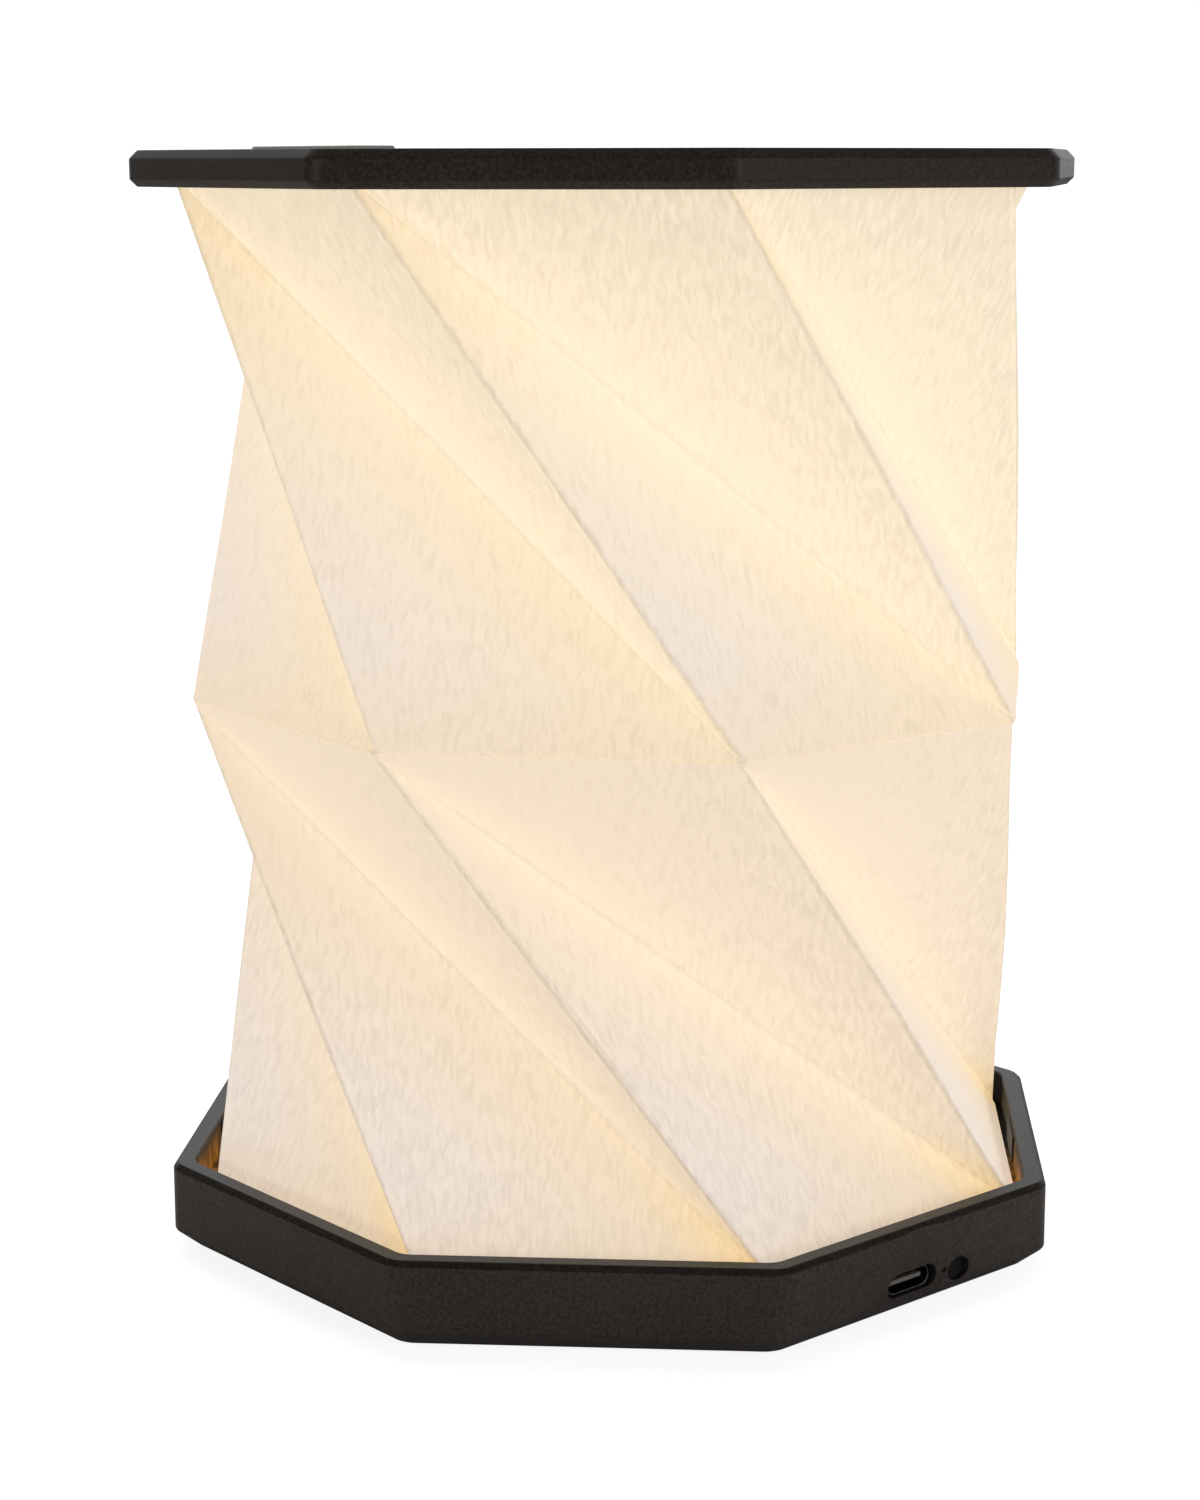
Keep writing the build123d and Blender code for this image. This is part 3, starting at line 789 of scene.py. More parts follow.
@dataclass(frozen=True)
class Coat:
    """A material in the making: its wiring, its shader and the place on the piece."""

    wiring: Wiring
    shader: Node
    place: Socket

    def set(self, **inputs: object) -> None:
        """Give the shader its inputs, with an underscore for a space in their names."""
        self.wiring.fill(self.shader, inputs)


@dataclass(frozen=True)
class Finish:
    """A plain moulded finish: two close tones, a fine grain and a slight change of gloss."""

    name: str
    dark: Colour
    light: Colour
    roughness: float = 0.5
    grain_scale: float = 2600.0
    grain_depth: float = 0.00002
    cloud_scale: float = 45.0
    metallic: float = 0.0
    specular: float = 0.5
    sheen_tint: Colour = grey(1.0)
    wear: float = 0.0
    worn: Colour = (0.12, 0.12, 0.11)
    gloss: tuple[float, float] = (0.05, 0.06)
    bump: float = 0.6

    def material(self) -> bpy.types.Material:
        """Make the finish's material, once.

        Returns:
            The material.
        """
        label = f"{self.name}_finish"
        if label in bpy.data.materials:
            return bpy.data.materials[label]
        made = bpy.data.materials.new(label)
        made.use_nodes = True
        made.node_tree.nodes.clear()
        wiring = Wiring(made.node_tree)
        shader = wiring.node("BsdfPrincipled", Metallic=self.metallic)
        coat = Coat(wiring, shader, wiring.node("TexCoord").outputs["Object"])
        coat.set(Specular_IOR_Level=self.specular, Specular_Tint=self.sheen_tint)
        wiring.node("OutputMaterial", Surface=shader.outputs[0])
        self.dress(coat)
        return made

    def dress(self, coat: Coat) -> None:
        """Wire the finish's colour, roughness and bump into its shader.

        Args:
            coat: The material in the making.
        """
        wiring = coat.wiring
        grain = wiring.group(
            Effects.moulded_grain(),
            Vector=coat.place,
            Grain_Scale=self.grain_scale,
            Cloud_Scale=self.cloud_scale,
        )
        colour = wiring.blend(grain["Tone"], self.dark, self.light)
        if self.wear:
            edges = wiring.group(Effects.worn_edges(), Vector=coat.place)
            share = wiring.times(edges["Wear"], self.wear)
            colour = wiring.blend(share, colour, self.worn)
        coat.set(Base_Color=colour)
        self.texture(coat, grain["Tone"], grain["Height"])

    def texture(self, coat: Coat, tone: Socket, height: Socket) -> None:
        """Let the gloss change with a tone, and bump the surface by a height.

        Args:
            coat: The material in the making.
            tone: From 0 to 1, the duller the higher.
            height: The height's socket.
        """
        wiring, (below, above) = coat.wiring, self.gloss
        dull = wiring.spread(tone, 0.0, 1.0, self.roughness - below, self.roughness + above)
        sizes = {"Strength": self.bump, "Distance": self.grain_depth}
        normal = wiring.node("Bump", Height=height, **sizes).outputs[0]
        coat.set(Roughness=dull, Normal=normal)


@dataclass(frozen=True)
class BrushedFinish(Finish):
    """A metal with fine lines along Y."""

    roughness: float = 0.35
    metallic: float = 1.0
    gloss: tuple[float, float] = (0.08, 0.08)
    line_scale: float = 900.0

    def dress(self, coat: Coat) -> None:
        """Wire the brushed lines into the shader.

        Args:
            coat: The material in the making.
        """
        wiring, scale = coat.wiring, self.line_scale
        lines = wiring.group(Effects.brushed_lines(), Vector=coat.place, Line_Scale=scale)["Lines"]
        coat.set(Base_Color=wiring.blend(lines, self.dark, self.light))
        self.texture(coat, lines, lines)


@dataclass(frozen=True)
class GlowingFinish(Finish):
    """A finish that also shines, evenly or more strongly towards a height and towards one side, in
    streaks. On the lamp's own parts this is their light; on the tray's inside and the middle
    crease it is painted light.
    """

    glow: Colour = (1.0, 0.6, 0.2)
    strength: float = 1.0
    bright_at: float = 0.0
    dim_at: float = 1.0
    bright_y: float = 1.0
    dim_y: float = 2.0
    streaks: float = 0.1
    streak_scale: float = 700.0
    streak_stretch: tuple[float, float, float] = (1.0, 0.6, 0.25)
    streak_levels: tuple[float, float] = (0.35, 0.65)

    def dress(self, coat: Coat) -> None:
        """Wire the plain finish and the glow into the shader.

        Args:
            coat: The material in the making.
        """
        super().dress(coat)
        wiring = coat.wiring
        parts = wiring.node("SeparateXYZ", Vector=coat.place).outputs
        lit = wiring.times(
            wiring.spread(parts["Z"], self.dim_at, self.bright_at),
            wiring.spread(parts["Y"], self.dim_y, self.bright_y),
        )
        drawn = wiring.laid(coat.place, self.streak_stretch)
        cloud = wiring.noise(drawn, self.streak_scale, detail=4.0)
        streaks = wiring.spread(cloud, *self.streak_levels, 1.0 - self.streaks, 1.0)
        glow = wiring.blend(wiring.times(lit, streaks), grey(0.0), self.glow)
        coat.set(Emission_Color=glow, Emission_Strength=self.strength)


@dataclass(frozen=True)
class BoardFinish(Finish):
    """A circuit board: solder mask with copper runs just visible under it."""

    roughness: float = 0.3
    copper: Colour = (0.05, 0.28, 0.11)
    gloss: tuple[float, float] = (0.05, 0.1)
    run_scale: float = 260.0
    run_width: float = 0.1

    def dress(self, coat: Coat) -> None:
        """Wire the mask and the copper runs into the shader.

        Args:
            coat: The material in the making.
        """
        wiring = coat.wiring
        runs = wiring.node(
            "TexBrick",
            Vector=wiring.laid(coat.place, (1.0, 1.0, 1.0), math.radians(-PORT_BEARING)),
            Scale=self.run_scale,
            Mortar_Size=self.run_width,
            Color1=self.dark,
            Color2=self.light,
            Mortar=self.copper,
        ).outputs
        coat.set(Base_Color=runs["Color"])
        grain = wiring.group(Effects.moulded_grain(), Vector=coat.place)
        self.texture(coat, grain["Tone"], runs["Fac"])


@dataclass(frozen=True)
class FoldPlace:
    """Where a point of the paper lies between its creases, as sockets.

    The rise is its share of the layer's height, and the side its share of the way from the
    mountain crease to the valley crease. The valley and the mountain are the distances to those
    creases, and the valley's is below nought on the lower facet.
    """

    rise: Socket
    side: Socket
    valley: Socket
    mountain: Socket


@dataclass(frozen=True)
class PaperFinish(Finish):
    """Lit paper, seen on the flat sheet's own map: fibres, crease lines, and its glow, which is
    painted light.

    The shares say how much weaker the glow is beside the mountain creases of the lower and upper
    facets, how much stronger it is in the middle of the valley, how much of it the end above and
    the end below lose, and how warm it is at the top and beside the low end of the valley, where
    the fold also lets some amber light past it. Each mark along a crease has the distances at
    which it starts and is at its full, and the change of the glow that it makes. The mottle is
    the clouds' share and the levels that the fibres move between, and the relief is how far the
    score stands up and the groove lies back. The rises and the sides are the shares of the way,
    as in FoldPlace, between which each change of the glow fades in.
    """

    pitch: float = 0.051
    lean: float = 0.44
    height: float = 0.086
    lit: Colour = (0.705, 0.59, 0.435)
    cool: Colour = (0.66, 0.57, 0.51)
    warm: Colour = (0.69, 0.535, 0.345)
    lower_fade: float = 0.0
    upper_fade: float = 0.07
    swell: float = 0.045
    top_fade: float = 0.065
    low_fade: float = 0.0
    top_from: float = 0.72
    warm_top: float = 0.85
    warm_low: float = 0.45
    amber: Colour = (0.72, 0.48, 0.17)
    amber_low: float = 0.0
    score: tuple[float, ...] = (0.00045, 0.00012)
    groove: tuple[float, ...] = (0.00018, 0.0005, 0.0013, 0.0005)
    ridge: tuple[float, ...] = (0.0008, 0.0002)
    shine: tuple[float, ...] = (0.0007, 0.001, 0.0016, 0.0012)
    changes: tuple[float, ...] = (-0.06, -0.13, 0.05, 0.1)
    mottle: tuple[float, ...] = (0.05, 0.89, 1.05)
    relief: tuple[float, float] = (3.0, -2.0)
    crease_shade: Colour = (0.45, 0.38, 0.3)
    crease_shade_share: float = 0.25
    facet_edge: float = 0.0008
    tint_edge: float = 0.0005
    amber_reach: tuple[float, float] = (0.008, 0.0)
    swell_rises: tuple[float, float, float] = (0.1, 0.55, 0.95)
    low_rises: tuple[float, float] = (0.5, 0.0)
    cool_sides: tuple[float, float] = (1.0, 0.0)
    cool_rises: tuple[float, float] = (0.8, 0.05)
    warm_top_rises: tuple[float, float] = (0.55, 0.95)
    warm_sides: tuple[float, float] = (0.3, 1.0)
    warm_rises: tuple[float, float] = (0.6, 0.1)
    bottom_rises: tuple[float, float] = (0.2, 0.0)
    amber_rises: tuple[float, float] = (0.22, 0.05)

    def dress(self, coat: Coat) -> None:
        """Wire the paper's colour, glow and fibres into the shader.

        Args:
            coat: The material in the making, whose place the sheet's own map stands in for.
        """
        wiring = coat.wiring
        sheet = wiring.node("UVMap", {"uv_map": "sheet"}).outputs["UV"]
        sizes = {"Pitch": self.pitch, "Lean": self.lean, "Height": self.height}
        folds = wiring.group(Effects.fold_map(), Vector=sheet, **sizes)
        at = FoldPlace(*(folds[key] for key in ("Rise", "Side", "From Valley", "From Mountain")))
        made = wiring.group(Effects.paper_fibres(), Vector=sheet)
        fibres, clouds = made["Fibres"], made["Clouds"]
        away = wiring.maths("ABSOLUTE", at.valley)
        score, ridge = wiring.spread(away, *self.score), wiring.spread(at.mountain, *self.ridge)
        groove, shine = (
            wiring.times(wiring.spread(by, *ends[:2]), wiring.spread(by, *ends[2:]))
            for by, ends in ((away, self.groove), (at.mountain, self.shine))
        )
        cloudy, *between = self.mottle
        mottle = wiring.times_plus(clouds, cloudy, wiring.spread(fibres, 0.0, 1.0, *between))
        level = wiring.times(self.level(wiring, at), mottle)
        # Painted shade in the groove beside the score and along the mountain crease, painted
        # highlights beside the mountain crease and on the score.
        for mark, change in zip((groove, ridge, shine, score), self.changes):
            level = wiring.times_plus(mark, change, level)
        glow = wiring.blend(level, grey(0.0), self.tint(wiring, at))
        body = wiring.blend(fibres, self.dark, self.light)
        # Painted shade: the paper's own colour darkens along the mountain creases.
        body = wiring.blend(wiring.times(ridge, self.crease_shade_share), body, self.crease_shade)
        coat.set(Base_Color=body, Emission_Color=glow, Emission_Strength=1.0)
        height = fibres
        for mark, rise in zip((score, groove), self.relief):
            height = wiring.times_plus(mark, rise, height)
        self.texture(coat, clouds, height)

    def level(self, wiring: Wiring, at: FoldPlace) -> Socket:
        """Wire the strength of the painted light that comes through.

        Args:
            wiring: The material's wiring.
            at: The place between the creases.

        Returns:
            The strength, about 1.
        """
        upper = wiring.spread(at.valley, -self.facet_edge, self.facet_edge)
        fade = wiring.times_plus(upper, self.upper_fade - self.lower_fade, self.lower_fade)
        level = wiring.less(1.0, wiring.times(fade, wiring.less(1.0, at.side)))
        foot, centre, top = self.swell_rises
        middle = wiring.times(
            wiring.spread(at.rise, foot, centre), wiring.spread(at.rise, top, centre)
        )
        swell = wiring.times(middle, wiring.times(at.side, self.swell))
        low = wiring.times(upper, wiring.spread(at.rise, *self.low_rises))
        ends = wiring.times(
            wiring.spread(at.rise, self.top_from, 1.0, 1.0, 1.0 - self.top_fade),
            wiring.times_plus(low, -self.low_fade, 1.0),
        )
        return wiring.times(wiring.maths("ADD", level, swell), ends)

    def tint(self, wiring: Wiring, at: FoldPlace) -> Socket:
        """Wire the colour of the painted light that comes through.

        Args:
            wiring: The material's wiring.
            at: The place between the creases.

        Returns:
            The colour: warmer at the top and the valley's low end, cooler at the mountain's.
        """
        lower = wiring.spread(at.valley, self.tint_edge, -self.tint_edge)
        coolness = wiring.times(
            wiring.spread(at.side, *self.cool_sides), wiring.spread(at.rise, *self.cool_rises)
        )
        tinted = wiring.blend(wiring.times(coolness, lower), self.lit, self.cool)
        top = wiring.spread(at.rise, *self.warm_top_rises, 0.0, self.warm_top)
        low = wiring.times(
            wiring.spread(at.side, *self.warm_sides),
            wiring.spread(at.rise, *self.warm_rises, 0.0, self.warm_low),
        )
        warmth = wiring.times(wiring.maths("MAXIMUM", top, low), lower)
        bottom = wiring.spread(at.rise, *self.bottom_rises, 0.0, self.warm_low)
        tinted = wiring.blend(wiring.maths("MAXIMUM", warmth, bottom), tinted, self.warm)
        if not self.amber_low:
            return tinted
        away = wiring.maths("ABSOLUTE", at.valley)
        near = wiring.spread(away, *self.amber_reach, 0.0, self.amber_low)
        share = wiring.times(near, wiring.spread(at.rise, *self.amber_rises))
        return wiring.blend(share, tinted, self.amber)


class Palette:
    """Every finish of the lantern. The slots' own have the names of the record's slots."""

    housing = Finish(
        "housing",
        (0.0386, 0.0342, 0.032),
        (0.0796, 0.071, 0.0662),
        roughness=0.42,
        grain_scale=1900.0,
        specular=0.3,
        sheen_tint=(1.0, 0.85, 0.72),
        wear=0.25,
        worn=(0.085, 0.078, 0.072),
    )
    # Painted shade: the lid gets a darker, less glossy copy of the same housing.
    lid_shaded_housing = replace(
        housing,
        name="lid_shaded_housing",
        dark=(0.0275, 0.0232, 0.0208),
        light=(0.057, 0.0485, 0.0435),
        specular=0.18,
    )
    # Painted shade: the bevel round the rim's top gets a darker, less glossy copy of the housing.
    shaded_rim_bevel = replace(
        housing,
        name="shaded_rim_bevel",
        dark=(0.024, 0.02, 0.0175),
        light=(0.045, 0.038, 0.034),
        specular=0.12,
    )
    # Painted shade and painted light: the tray's inside wall and floor are darker than the
    # housing, and glow amber in streaks, most near the floor and towards the front, for the lamp's
    # light that leaks past the paper's hem.
    lit_wall = GlowingFinish(
        "lit_wall",
        (0.006, 0.0045, 0.0035),
        (0.013, 0.0098, 0.0075),
        specular=0.06,
        glow=(0.45, 0.17, 0.02),
        bright_at=8.0 * MM,
        dim_at=14.5 * MM,
        bright_y=-20.0 * MM,
        dim_y=8.0 * MM,
        streaks=0.6,
    )
    lit_floor = replace(lit_wall, name="lit_floor", glow=(0.3, 0.12, 0.02), streaks=0.8)
    # Painted highlight: the rim's top is a lighter, cooler grey than the housing, standing in for
    # the light that it catches.
    painted_highlight_land = Finish(
        "painted_highlight_land", (0.041, 0.047, 0.055), (0.082, 0.091, 0.102), roughness=0.42, specular=0.2
    )
    # Painted light: the crease between the paper's two layers glows like the paper beside it.
    lit_crease = GlowingFinish(
        "lit_crease",
        (0.5, 0.44, 0.34),
        (0.6, 0.52, 0.4),
        roughness=0.8,
        glow=(0.53, 0.43, 0.325),
        bright_at=0.084,
        dim_at=0.2,
        streaks=0.15,
    )
    paper = PaperFinish(
        "paper",
        (0.58, 0.52, 0.4),
        (0.66, 0.6, 0.48),
        roughness=0.8,
        grain_depth=0.00004,
        gloss=(0.1, 0.1),
    )
    lower_paper = replace(
        paper,
        lit=(0.645, 0.53, 0.408),
        warm=(0.665, 0.515, 0.335),
        cool=(0.64, 0.565, 0.53),
        lower_fade=0.05,
        upper_fade=0.1,
        swell=0.0,
        top_fade=-0.09,
        low_fade=0.13,
        top_from=0.35,
        warm_top=0.0,
        amber_low=0.5,
    )
    gold = BrushedFinish("gold", (0.75, 0.55, 0.22), (0.95, 0.75, 0.4), roughness=0.3)
    slots: dict[str, Finish] = {
        finish.name: finish
        for finish in (
            housing,
            Finish(
                "button",
                (0.009, 0.008, 0.007),
                (0.015, 0.013, 0.012),
                roughness=0.55,
                grain_scale=4000.0,
                specular=0.2,
            ),
            Finish("switch", grey(0.03), grey(0.05), roughness=0.35),
            Finish("rubber_feet", grey(0.02), grey(0.035), roughness=0.85, grain_depth=0.00004),
            BrushedFinish("screws", (0.35, 0.35, 0.34), (0.6, 0.6, 0.58), roughness=0.32),
            BrushedFinish(
                "battery_foil", (0.55, 0.56, 0.57), (0.75, 0.76, 0.78), line_scale=300.0
            ),
            Finish(
                "foam_tape",
                (0.7, 0.69, 0.65),
                (0.85, 0.84, 0.8),
                roughness=0.95,
                grain_scale=900.0,
                grain_depth=0.0002,
            ),
            BrushedFinish("nickel", (0.55, 0.53, 0.5), (0.78, 0.76, 0.72), roughness=0.25),
            BoardFinish("circuit_board", (0.01, 0.12, 0.05), (0.015, 0.15, 0.06)),
            Finish("chips", (0.015, 0.015, 0.016), grey(0.03), roughness=0.55),
            # Painted shade: the steel shell is darkened, as it lies shaded in its opening.
            BrushedFinish("port_steel", (0.1, 0.094, 0.087), (0.19, 0.178, 0.165)),
            Finish("port_plastic", (0.2, 0.185, 0.17), (0.28, 0.26, 0.24), roughness=0.4),
            GlowingFinish(
                "led_body", (0.8, 0.7, 0.35), (0.95, 0.85, 0.45), 0.4, glow=(1.0, 0.75, 0.4)
            ),
            # Painted shade: the clear light pipe is coloured nearly black, so that its end reads
            # as the shaded pinhole.
            Finish(
                "clear_pipe", (0.006, 0.005, 0.004), (0.012, 0.011, 0.01), 0.4, specular=0.1
            ),
            Finish("connector", (0.75, 0.73, 0.66), (0.85, 0.83, 0.76)),
            BrushedFinish("spreader", (0.55, 0.55, 0.56), (0.75, 0.75, 0.76)),
            BoardFinish(
                "lamp_board", (0.85, 0.85, 0.83), (0.9, 0.9, 0.88), copper=(0.7, 0.7, 0.66)
            ),
            GlowingFinish(
                "diffuser",
                (0.85, 0.83, 0.78),
                (0.95, 0.93, 0.88),
                roughness=0.6,
                glow=(1.0, 0.85, 0.6),
                strength=0.5,
            ),
            Finish("clamp", (0.8, 0.79, 0.76), (0.88, 0.87, 0.84)),
            Finish("inner_plate", (0.78, 0.77, 0.74), (0.86, 0.85, 0.82)),
            Finish("reflector", (0.9, 0.9, 0.89), (0.96, 0.96, 0.95), roughness=0.4),
            Finish("magnet", grey(0.012), grey(0.02), specular=0.3),
            BrushedFinish(
                "plate_metal",
                (0.66, 0.7, 0.62),
                (0.82, 0.85, 0.77),
                metallic=0.0,
                line_scale=600.0,
            ),
        )
    }
    slots["shade_paper"] = Finish("shade_band", (0.5, 0.42, 0.3), (0.6, 0.52, 0.4), roughness=0.8)

    @classmethod
    def dress_frame(cls, loaded: dict) -> None:
        """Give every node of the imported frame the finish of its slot.
        """
        slots = {row["node"]: row["material_slot"] for row in loaded["record"]["subparts"]}
        for name, node in loaded["nodes"].items():
            coat_with(node, cls.slots[slots[name]])


def coat_with(piece: Piece, *finishes: Finish) -> None:
    """Give a piece these finishes and no others.

    Args:
        piece: The piece.
        *finishes: Its finishes, in the order of its material slots.
    """
    piece.data.materials.clear()
    for finish in finishes:
        piece.data.materials.append(finish.material())


def deliver(piece: Piece, body: str, node: str, angle: float = 35.0) -> Piece:
    """Polish a finished piece and let it stand for its node.

    Args:
        piece: The piece.
        body: The body that it moves with.
        node: The node that it replaces.
        angle: The angle from which its edges stay sharp, in degrees.

    Returns:
        The same piece.
    """
    Bench.polish(piece, angle)
    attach(piece, body)
    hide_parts(node)
    return piece


@dataclass
class BaseShell:
    """The moulded octagonal tray with its rim, port opening and bosses.

    The size of a set of bosses or holes is the radius of each and the heights of its ends, and a
    tool that cuts past a surface goes the spare length beyond it.
    """

    apothem: float = 66.85 * MM
    low: float = 0.3 * MM
    under_inset: float = 3.35 * MM
    under_top: float = 3.1 * MM
    rim_top: float = 13.7 * MM
    corner: float = 4.0 * MM
    chamfer: float = 0.75 * MM
    edge_round: float = 0.16 * MM
    seam_share: float = 1.6
    spare: float = 1 * MM
    tray_apothem: float = 63.5 * MM
    tray_corner: float = 3.2 * MM
    floor_top: float = 8.3 * MM
    floor_under: float = 7.2 * MM
    cover_top: float = 1.8 * MM
    cavity_apothem: float = 60.3 * MM
    ledge_apothem: float = 61.3 * MM
    inner_chamfer: float = 0.25 * MM
    scoop_top: float = 10.5 * MM
    scoop_depth: float = 1.5 * MM
    scoop_radius: float = 51.0 * MM
    scoop_reach: float = 40 * MM
    bay_apothem: float = 63.0 * MM
    bay_width: float = 30 * MM
    bay_depth: float = 28 * MM
    usb_height: float = 4.8 * MM
    usb_side: float = -0.55 * MM
    usb_hole: tuple[float, ...] = mm(10.3, 3.8, 12)
    button_side: float = 8.85 * MM
    button_height: float = 4.6 * MM
    button_hole: float = 1.9 * MM
    hole_reach: float = 6 * MM
    dish: float = 0.2 * MM
    pipe_side: float = 6.3 * MM
    pipe_height: float = 4.9 * MM
    pipe_hole: float = 0.43 * MM
    clamp_circle: float = 60.27 * MM
    clamp_boss: tuple[float, ...] = mm(2.3, 4.7, 7.7)
    clamp_hole: tuple[float, ...] = mm(1.05, 4.0, 9.0)
    cover_circle: float = 52.0 * MM
    cover_bearings: tuple[float, ...] = (22.5, 67.5, 202.5, 247.5)
    cover_boss: tuple[float, ...] = mm(3.0, 1.8, 7.7)
    cover_hole: tuple[float, ...] = mm(1.05, 1.0, 5.4)
    lamp_circle: float = 18.2 * MM
    lamp_bearings: tuple[float, ...] = (90, 210, 330)
    lamp_hole: tuple[float, ...] = mm(1.05, 6.0, 9.0)
    window: tuple[float, ...] = mm(15, 6, 9)
    pocket: tuple[float, ...] = mm(3.5, 11.1, 4.1)
    pocket_depth: float = 2.65 * MM
    bevel_depth: float = 2.0 * MM
    bevel_facing: float = 0.3
    land_depth: float = 0.2 * MM
    within: float = 0.02 * MM

    def block(self) -> Piece:
        """Make the outer block, with its sloped lower edge and its chamfered top edge.

        Returns:
            The block.
        """
        body = Bench.octagon("base_body", self.apothem, self.low, self.rim_top, self.corner)
        with Bench.editing(body):
            bpy.ops.mesh.bisect(plane_co=(0, 0, self.under_top), plane_no=(0, 0, 1))
            Bench.pick(body, Part.FACE, lambda middle, normal: normal.z < -FACING)
            Bench.widen((self.apothem - self.under_inset) / self.apothem, (0, 0, self.low))
            Bench.bevel_end(body, 1, self.chamfer)
            seams = (self.under_top, self.rim_top - self.chamfer)
            Bench.bevel_level(body, seams, self.edge_round * self.seam_share, 3)
            Bench.bevel_level(body, (self.low, self.rim_top), self.edge_round, 2)
        return body

    def hollows(self) -> Iterator[Piece]:
        """Make the solids that hollow the block out.

        Yields:
            Each solid.
        """
        high, corner = self.rim_top + self.spare, self.tray_corner
        tray = Bench.octagon("tray", self.tray_apothem, self.floor_top, high, corner)
        with Bench.editing(tray):
            cut = (0, 0, self.rim_top - self.inner_chamfer)
            bpy.ops.mesh.bisect(plane_co=cut, plane_no=(0, 0, 1))
            Bench.pick(tray, Part.FACE, lambda middle, normal: normal.z > FACING)
            wide = self.tray_apothem + self.inner_chamfer + self.spare
            Bench.widen(wide / self.tray_apothem)
        yield tray
        for apothem, low, top in (
            (self.cavity_apothem, self.cover_top, self.floor_under),
            (self.ledge_apothem, self.low, self.cover_top),
        ):
            yield Bench.octagon("cavity", apothem, low - self.spare, top, corner)
        size = (self.bay_width, self.floor_under - self.cover_top, self.bay_depth)
        middle = (self.cover_top + self.floor_under) / 2
        yield Bench.box("bay", size, port_place(self.bay_apothem - self.bay_depth / 2, 0, middle))

    def bosses(self) -> Iterator[Piece]:
        """Make the screw bosses under the floor.

        Yields:
            Each set of bosses, as one solid.
        """
        yield Bench.bars_round(self.clamp_boss, self.clamp_circle, corner_bearings(), rim=24)
        yield Bench.bars_round(self.cover_boss, self.cover_circle, self.cover_bearings, rim=24)

    def holes(self) -> Iterator[Piece]:
        """Make the solids of the screw holes, the lamp window and the magnet pockets.

        Yields:
            Each set of holes, as one solid.
        """
        yield Bench.bars_round(self.clamp_hole, self.clamp_circle, corner_bearings())
        yield Bench.bars_round(self.lamp_hole, self.lamp_circle, self.lamp_bearings)
        yield Bench.bars_round(self.cover_hole, self.cover_circle, self.cover_bearings)
        yield Bench.bar("window", *self.window, rim=64)
        depth = self.rim_top - self.pocket_depth
        yield Bench.pockets_round(self.pocket, self.tray_apothem, 0, depth)

    def openings(self) -> Iterator[Piece]:
        """Make the solids of the scoop on the port side and of the openings in it.

        Yields:
            Each solid.
        """
        reach, out = self.scoop_reach, outward(PORT_BEARING)
        fall = Vector((0, 0, self.low - self.scoop_top)) - out * self.scoop_depth
        turn = fall.to_track_quat("Z", "Y").to_matrix().to_4x4()
        start = port_place(self.apothem + self.scoop_radius, 0, self.scoop_top).translation
        scoop = Bench.bar("scoop", self.scoop_radius, -reach, reach, rim=256)
        yield Bench.place(scoop, Matrix.Translation(start) @ turn)
        place = port_place(self.apothem, self.usb_side, self.usb_height)
        yield Bench.port_bar("port_opening", self.usb_hole, place, self.within)
        for radius, side, height in (
            (self.button_hole, self.button_side, self.button_height),
            (self.pipe_hole, self.pipe_side, self.pipe_height),
        ):
            hole = Bench.bar("hole", radius, -self.hole_reach, self.hole_reach)
            yield Bench.place(hole, port_place(self.apothem, side, height))
        share = (self.scoop_top - self.button_height) / (self.scoop_top - self.low)
        rise = self.scoop_radius - math.sqrt(self.scoop_radius**2 - self.button_side**2)
        face = self.apothem - self.scoop_depth * share + rise
        Bench.clear()
        bpy.ops.mesh.primitive_cone_add(
            vertices=64,
            radius1=self.button_hole,
            radius2=self.button_hole + 2 * self.dish,
            depth=2 * self.dish,
        )
        place = port_place(face, self.button_side, self.button_height)
        yield Bench.place(bpy.context.object, place)

    def finish_at(self, middle: Vector, normal: Vector) -> Finish:
        """Choose the finish of a face: painted light and shade on the tray's inside wall and
        floor, a painted highlight on the rim's top, painted shade on the bevel round it, and the
        plain housing elsewhere.

        Args:
            middle: The face's middle.
            normal: Its normal.

        Returns:
            The finish.
        """
        out = max(outward(k * STEP).dot(middle) for k in range(SIDES))
        upright = self.floor_top < middle.z < self.rim_top - self.land_depth
        if upright and out < self.tray_apothem + self.land_depth / 2:
            return Palette.lit_wall
        if middle.z > self.rim_top - self.within:
            return Palette.painted_highlight_land
        if normal.z > FACING and abs(middle.z - self.floor_top) < self.within / 2:
            return Palette.lit_floor
        if middle.z > self.rim_top - self.bevel_depth and normal.z > self.bevel_facing:
            return Palette.shaded_rim_bevel
        return Palette.housing

    def build(self) -> Piece:
        """Build, dress and place the shell.

        Returns:
            The finished piece.
        """
        shell = self.block()
        for solid in self.hollows():
            Bench.shape(shell, solid, Shape.CUT)
        for solid in self.bosses():
            Bench.shape(shell, solid, Shape.ADD)
        for solid in (*self.holes(), *self.openings()):
            Bench.shape(shell, solid, Shape.CUT)
        shell.name = "base_tray"
        finishes = (
            Palette.housing,
            Palette.lit_wall,
            Palette.painted_highlight_land,
            Palette.lit_floor,
            Palette.shaded_rim_bevel,
        )
        coat_with(shell, *finishes)
        for face in shell.data.polygons:
            face.material_index = finishes.index(self.finish_at(face.center, face.normal))
        return deliver(shell, "base", "base_shell")


